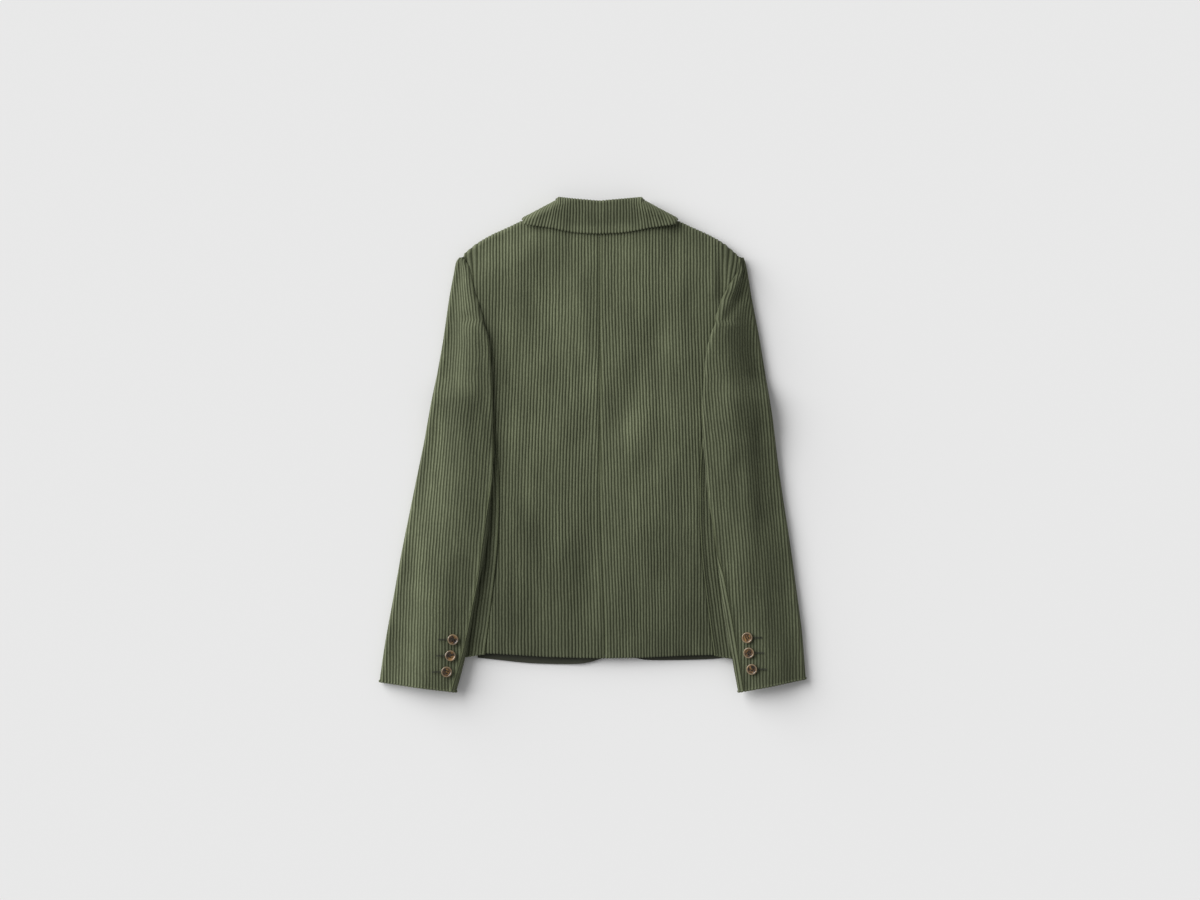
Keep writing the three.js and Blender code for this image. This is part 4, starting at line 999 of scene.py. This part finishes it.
def make_under_sleeve(side):
    """The lower cut piece of one sleeve: the strip beside the inner fold and the underside."""
    sizes = bpy.context.scene.jacket_sizes
    step = sizes.wale_pitch / sizes.wale_points
    fine = int(26 / step)
    rows = sleeve_rows(sizes, SEAM_TOP_Y)

    def place_back(y, i):
        back, _, over, _ = sleeve_seams(side, y)
        start = back + 2.5 * SEAM_GAP
        if i < fine:
            a = min(start + i * step, over)
        else:
            rest = max(over - start - fine * step, 0)
            a = min(start + fine * step, over) + rest * (i - fine + 1) / 20
        p = sleeve_point(side, a, y)
        wale = wale_profile((a - start) / sizes.wale_pitch)
        lift = seam_dip(a - start) + edge_round(y - CUFF_Y) + crease_noise(p.x, p.y, p.z)
        p.y -= scallop(wale, y - CUFF_Y)
        lift *= smooth(0.5, 4, p.z) * smooth(0, 2, over - a)
        return p, lift, wale, 1 - smooth(14, 22, a - start), a - start

    def place_front(y, i):
        _, front, _, under = sleeve_seams(side, y)
        start = min(front + 2 * SEAM_GAP, under)
        a = -(start + (under - start) * (1 - i / 23))
        return sleeve_point(side, a, y), 0, 0.4, 0, 0

    back = grid_sheet("under sleeve back half", rows, fine + 20, place_back, -side.sign)
    front = grid_sheet("under sleeve front half", rows, 24, place_front, -side.sign)
    sheet = join_sheets([back, front], f"under_sleeve_{side.name}_cloth")
    recalculate(sheet)
    keep_as_sheet(sheet, f"under_sleeve_{side.name}", "corduroy")


def collar_half(q):
    along = Vector((COLLAR_LOW_HALF - COLLAR_TOP_HALF, collar_edge_line(1) - collar_roll_line(1)))
    out = Vector((-along.y, along.x)).normalized()
    return COLLAR_TOP_HALF + (COLLAR_LOW_HALF - COLLAR_TOP_HALF) * clamp(q, 0, 1) - COLLAR_FOLD * out.x, out


def collar_turn(q, turn):
    """How far the collar's end has turned over, in radians."""
    return math.radians((COLLAR_TURN + (COLLAR_TURN_LOW - COLLAR_TURN) * clamp(q, 0, 1)) * turn)


def collar_point(q, v, turn, hand):
    """A point of the fall: q runs from the roll line to the edge, turn round the end."""
    flat = clamp(q, 0, 1)
    half, outwards = collar_half(q)
    s = v / half
    fold = COLLAR_FOLD * outwards.y * smooth(0.6, 1, s)
    rolled = clamp(-q, 0, 1) * math.pi / 2
    roll = (COLLAR_ROLL + fold) * (1 - min(turn * 2, 1))
    high = COLLAR_HEIGHT - COLLAR_EDGE_DROP * smooth(0.2, 0.8, flat)
    y = collar_roll_line(s) * (1 - flat) + collar_edge_line(s) * flat - fold - COLLAR_ROLL * (1 - flat)
    over = math.pi / 2 - collar_turn(q, turn)
    out = COLLAR_FOLD * math.cos(over)
    return Vector((
        CENTRE_X + hand * (v + out * outwards.x),
        y + out * outwards.y + roll * math.sin(rolled),
        high / 2 * (1 + math.sin(over)) - roll * (1 - math.cos(rolled))))


def make_collar():
    """The collar fall over the back, rolled at its top and round both neck sides."""
    sizes = bpy.context.scene.jacket_sizes
    step = sizes.wale_pitch / sizes.wale_points
    flat = int(COLLAR_FLAT_HALF / step)
    half = flat + TURN_COLUMNS
    rows = [-1, -0.8, -0.6, -0.4, -0.2] + spread(0, 0.95, 0.025) + [0.962, 0.974, 0.985, 0.995, 1.0]

    def lean(wide):
        return 12 * smooth(25, 107, wide)

    def place(q, i):
        away = abs(i - half)
        limit, outwards = collar_half(q)
        flat_q = clamp(q, 0, 1)
        wide = away * step
        v = wide - lean(wide) * (1 - flat_q)
        turn = max(away - flat, 0) / TURN_COLUMNS
        if v > limit or away > flat:
            v = limit
            unrolled = (COLLAR_FOLD + COLLAR_HEIGHT / 2) / 2 * collar_turn(q, turn)
            down = flat_q - unrolled * outwards.y / COLLAR_FALL_DEPTH
            for _ in range(6):
                wide = limit + unrolled * outwards.x + lean(wide) * (1 - down)
        p = collar_point(q, v, turn, 1 if i >= half else -1)
        wale = wale_profile(wide / sizes.wale_pitch + 0.5)
        lift = crease_noise(p.x, p.y, p.z) + edge_round((1 - q) * COLLAR_FALL_DEPTH)
        p.y -= scallop(wale, (1 - q) * COLLAR_FALL_DEPTH)
        return p, lift, wale, 1, 10

    sheet = grid_sheet("collar_fall_cloth", rows, 2 * half + 1, place, -1)
    recalculate(sheet)
    keep_as_sheet(sheet, "collar_fall", "corduroy")


def make_stand():
    """The collar stand, under the fall."""
    def place(up, i):
        v = STAND_HALF * (2 * i / STAND_STEPS - 1)
        low = shoulder_line(abs(v)) + SEAM_GAP
        high = collar_roll_line(abs(v) / COLLAR_TOP_HALF) - 2 - 3 * SEAM_GAP
        z = STAND_FOOT_HEIGHT + (STAND_HEIGHT - STAND_FOOT_HEIGHT) * smooth(0, 0.6, up)
        x = CENTRE_X + v
        y = low + (high - low) * up
        return Vector((x, y, z)), crease_noise(x, y, z), 0.5, 0, 0

    sheet = grid_sheet("collar_stand_cloth", spread(1, 0, 0.05), STAND_STEPS + 1, place, 1)
    face_up(sheet)
    keep_as_sheet(sheet, "collar_stand", "corduroy")


# Buttons and buttonholes

def tube(name, route, radius, sides=10):
    """A thread along a route of points, in metres."""
    select_only()
    bpy.ops.mesh.primitive_cylinder_add(vertices=sides, radius=radius, depth=1)
    piece = bpy.context.object
    piece.name = name
    spans = len(route) - 1
    for k in range(1, spans):
        edit_all(bpy.ops.mesh.bisect, plane_co=(0, 0, k / spans - 0.5), plane_no=(0, 0, 1))
    for vertex in piece.data.vertices:
        t = clamp(vertex.co.z + 0.5, 0, 1) * spans
        k = min(int(t), spans - 1)
        at = route[k].lerp(route[k + 1], t - k)
        ahead = (route[k + 1] - route[k]).normalized()
        beside = ahead.cross(Vector((0, 0, 1))).normalized()
        above = beside.cross(ahead)
        thin = THREAD_END if t < 0.01 or t > spans - 0.01 else 1
        vertex.co = at + (beside * vertex.co.x + above * vertex.co.y) * thin
    bpy.ops.object.shade_smooth()
    return piece


def sleeve_top(side, x, y):
    """Height and normal of a sleeve's upper face at a place."""
    def high(px, py):
        v = side.sign * (px - CENTRE_X)
        row = py - side.cuff_slant * smooth(180, -CUFF_Y, -py) * (v - side.sleeve_inner(py))
        section = sleeve_section(side, row)
        low, far = 0.0, section["fold"]
        for _ in range(30):
            middle = (low + far) / 2
            if point_along(section["over"], middle)[0] > v:
                low = middle
            else:
                far = middle
        return point_along(section["over"], low)[1]

    step = 4
    slope_x = (high(x + step, y) - high(x - step, y)) / (2 * step)
    slope_y = (high(x, y + step) - high(x, y - step)) / (2 * step)
    return high(x, y), Vector((-slope_x, -slope_y, 1)).normalized()


def keep_as_thread(pieces, name):
    """Join strands of sewing thread, which go with the cloth."""
    thread = join_pieces(pieces, name)
    dress(thread, materials()["thread"])
    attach(thread, "root")
    return thread


def make_button(side, number, x, y):
    """A sewn four-hole button with a raised rim, and the thread that holds it."""
    radius = bpy.context.scene.jacket_sizes.button / 2
    select_only()
    bpy.ops.mesh.primitive_cylinder_add(vertices=56, radius=radius * MM, depth=2.4 * MM,
                                        location=(0, 0, BUTTON_MIDDLE * MM))
    button = bpy.context.object
    button.name = f"button_{side.name}_{number}_disc"
    bpy.ops.object.transform_apply(location=True)
    bpy.ops.object.mode_set(mode="EDIT")
    bpy.ops.mesh.select_mode(type="FACE")
    bpy.ops.mesh.select_all(action="DESELECT")
    bpy.ops.object.mode_set(mode="OBJECT")
    for face in button.data.polygons:
        face.select = face.normal.z > 0.9
    bpy.ops.object.mode_set(mode="EDIT")
    for inwards, up in BUTTON_STEPS:
        bpy.ops.mesh.inset(thickness=inwards * MM, depth=up * MM)
    bpy.ops.object.mode_set(mode="OBJECT")
    for sx in (-1, 1):
        for sy in (-1, 1):
            place = Vector((sx * HOLE_OFFSET, sy * HOLE_OFFSET, BUTTON_MIDDLE)) * MM
            bpy.ops.mesh.primitive_cylinder_add(vertices=20, radius=0.85 * MM, depth=8 * MM, location=place)
            hole = bpy.context.object
            select_only(button)
            apply_modifier(button, "Hole", "BOOLEAN", operation="DIFFERENCE", solver="EXACT", object=hole)
            bpy.data.objects.remove(hole, do_unlink=True)
    apply_modifier(button, "Soft edges", "BEVEL", width=0.18 * MM, segments=2, limit_method="ANGLE")
    bpy.ops.object.shade_smooth_by_angle(angle=math.radians(40))
    rim = button.data.attributes.new("wale", "FLOAT", "POINT")
    away = [math.hypot(vertex.co.x, vertex.co.y) / MM for vertex in button.data.vertices]
    rim.data.foreach_set("value", [0.65 * smooth(radius - 2.2, radius - 1.2, out) for out in away])
    dress(button, materials()["button"])

    high, normal = sleeve_top(side, x, y)
    turn = Vector((0, 0, 1)).rotation_difference(normal).to_matrix().to_4x4()
    spin = Matrix.Rotation(math.radians(17 * number + 9), 4, "Z")
    centre = Vector((x, y, high)) * MM + normal * (1.2 * MM)
    put = Matrix.Translation(centre) @ turn @ spin
    threads = []
    for sx in (-1, 1):
        for shift in (-0.35, 0, 0.35):
            route = []
            for k in range(9):
                t = k / 8
                rise = 2.25 + 0.75 * math.sin(math.pi * t) if 0 < k < 8 else 0.2
                route.append(Vector((sx * HOLE_OFFSET + shift, HOLE_OFFSET * (2 * t - 1), rise)) * MM)
            threads.append(tube("strand", route, 0.24 * MM))
    shank = [Vector((0, 0.01, -1)) * MM, Vector((0, 0, 0)), Vector((0, 0, 1)) * MM]
    threads.append(tube("shank", shank, MM))
    thread = keep_as_thread(threads, f"button_{side.name}_{number}_thread")
    for piece in (button, thread):
        piece.data.transform(put)
        piece.data.update()
    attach(button, "root")
    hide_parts(f"button_{side.name}_{number}")


def make_buttonhole(side, number, x, y):
    """A mock buttonhole: close stitches round a slit, from the button outwards."""
    stitches = []
    for k in range(HOLE_STITCHES):
        px = x + side.sign * (HOLE_START + HOLE_LENGTH * k / (HOLE_STITCHES - 1))
        for edge in (-1, 1):
            route = []
            for across, rise in ((0.25, 1.05), (0.7, 1.35), (1.15, 1.05)):
                py = y + edge * across + side.sign * 0.02
                route.append(Vector((px, py, sleeve_top(side, px, py)[0] + rise)) * MM)
            stitches.append(tube("stitch", route, 0.36 * MM, 6))
    keep_as_thread(stitches, f"buttonhole_{side.name}_{number}")


class JACKET_OT_stage(bpy.types.Operator):
    """Make the pale floor, the soft lights and the camera straight above"""

    bl_idname = "jacket.stage"
    bl_label = "Stage"

    def execute(self, context):
        select_only()
        bpy.ops.mesh.primitive_plane_add(size=12, location=(0, 0, -0.0004))
        floor = context.object
        floor.name = "floor"
        floor.data.materials.append(materials()["floor"])
        camera_data = bpy.data.cameras.new("Camera")
        camera = bpy.data.objects.new("Camera", camera_data)
        context.scene.collection.objects.link(camera)
        camera.location = (VIEW_MIDDLE[0], VIEW_MIDDLE[1], CAMERA_HEIGHT)
        camera_data.sensor_width = 36
        camera_data.lens = 36 * CAMERA_HEIGHT / VIEW_WIDTH
        camera_data.clip_end = 50
        context.scene.camera = camera
        data = bpy.data.lights.new("key", "SUN")
        data.angle = math.radians(KEY_SOFTNESS)
        data.energy = KEY_STRENGTH
        key = bpy.data.objects.new("key", data)
        key.rotation_euler = (-Vector(KEY_FROM)).to_track_quat("-Z", "Y").to_euler()
        context.scene.collection.objects.link(key)
        world = bpy.data.worlds.new("Pale room")
        world.use_nodes = True
        world.node_tree.nodes["Background"].inputs["Color"].default_value = (1, 1, 1, 1)
        world.node_tree.nodes["Background"].inputs["Strength"].default_value = ROOM_STRENGTH
        context.scene.world = world
        context.scene.view_settings.view_transform = "Standard"
        return {"FINISHED"}


class JACKET_OT_body(bpy.types.Operator):
    """Make the backs, sides and fronts"""

    bl_idname = "jacket.body"
    bl_label = "Body"

    def execute(self, context):
        for side in SIDES:
            make_back(side)
            make_side(side)
            make_front(side)
        return {"FINISHED"}


class JACKET_OT_sleeves(bpy.types.Operator):
    """Make the top and under sleeves"""

    bl_idname = "jacket.sleeves"
    bl_label = "Sleeves"

    def execute(self, context):
        for side in SIDES:
            make_top_sleeve(side)
            make_under_sleeve(side)
        return {"FINISHED"}


class JACKET_OT_collar(bpy.types.Operator):
    """Make the collar fall and its stand"""

    bl_idname = "jacket.collar"
    bl_label = "Collar"

    def execute(self, context):
        make_collar()
        make_stand()
        return {"FINISHED"}


class JACKET_OT_buttons(bpy.types.Operator):
    """Make the sleeve buttons, their thread and the mock buttonholes"""

    bl_idname = "jacket.buttons"
    bl_label = "Buttons"

    def execute(self, context):
        for side in SIDES:
            for number, (x, y) in enumerate(side.buttons, start=1):
                make_button(side, number, x, y)
                make_buttonhole(side, number, x, y)
        return {"FINISHED"}


class JACKET_PT_panel(bpy.types.Panel):
    """Lists the jacket's pieces and sizes"""

    bl_idname = "JACKET_PT_panel"
    bl_label = "Corduroy jacket"
    bl_space_type = "VIEW_3D"
    bl_region_type = "UI"
    bl_category = "Jacket"

    def draw(self, context):
        for name in JacketSizes.__annotations__:
            self.layout.prop(context.scene.jacket_sizes, name)
        for name in JacketLooks.__annotations__:
            self.layout.prop(context.scene.jacket_looks, name)
        for operator in OPERATORS:
            self.layout.operator(operator.bl_idname)


OPERATORS = (JACKET_OT_stage, JACKET_OT_body, JACKET_OT_sleeves, JACKET_OT_collar, JACKET_OT_buttons)
CLASSES = (JacketSizes, JacketLooks) + OPERATORS + (JACKET_PT_panel,)


def register():
    for cls in CLASSES:
        bpy.utils.register_class(cls)
    bpy.types.Scene.jacket_sizes = bpy.props.PointerProperty(type=JacketSizes)
    bpy.types.Scene.jacket_looks = bpy.props.PointerProperty(type=JacketLooks)


def unregister():
    del bpy.types.Scene.jacket_looks
    del bpy.types.Scene.jacket_sizes
    for cls in reversed(CLASSES):
        bpy.utils.unregister_class(cls)


def main():
    register()
    bpy.ops.jacket.stage()
    bpy.ops.jacket.body()
    bpy.ops.jacket.sleeves()
    bpy.ops.jacket.collar()
    bpy.ops.jacket.buttons()


if __name__ == "__main__":
    main()
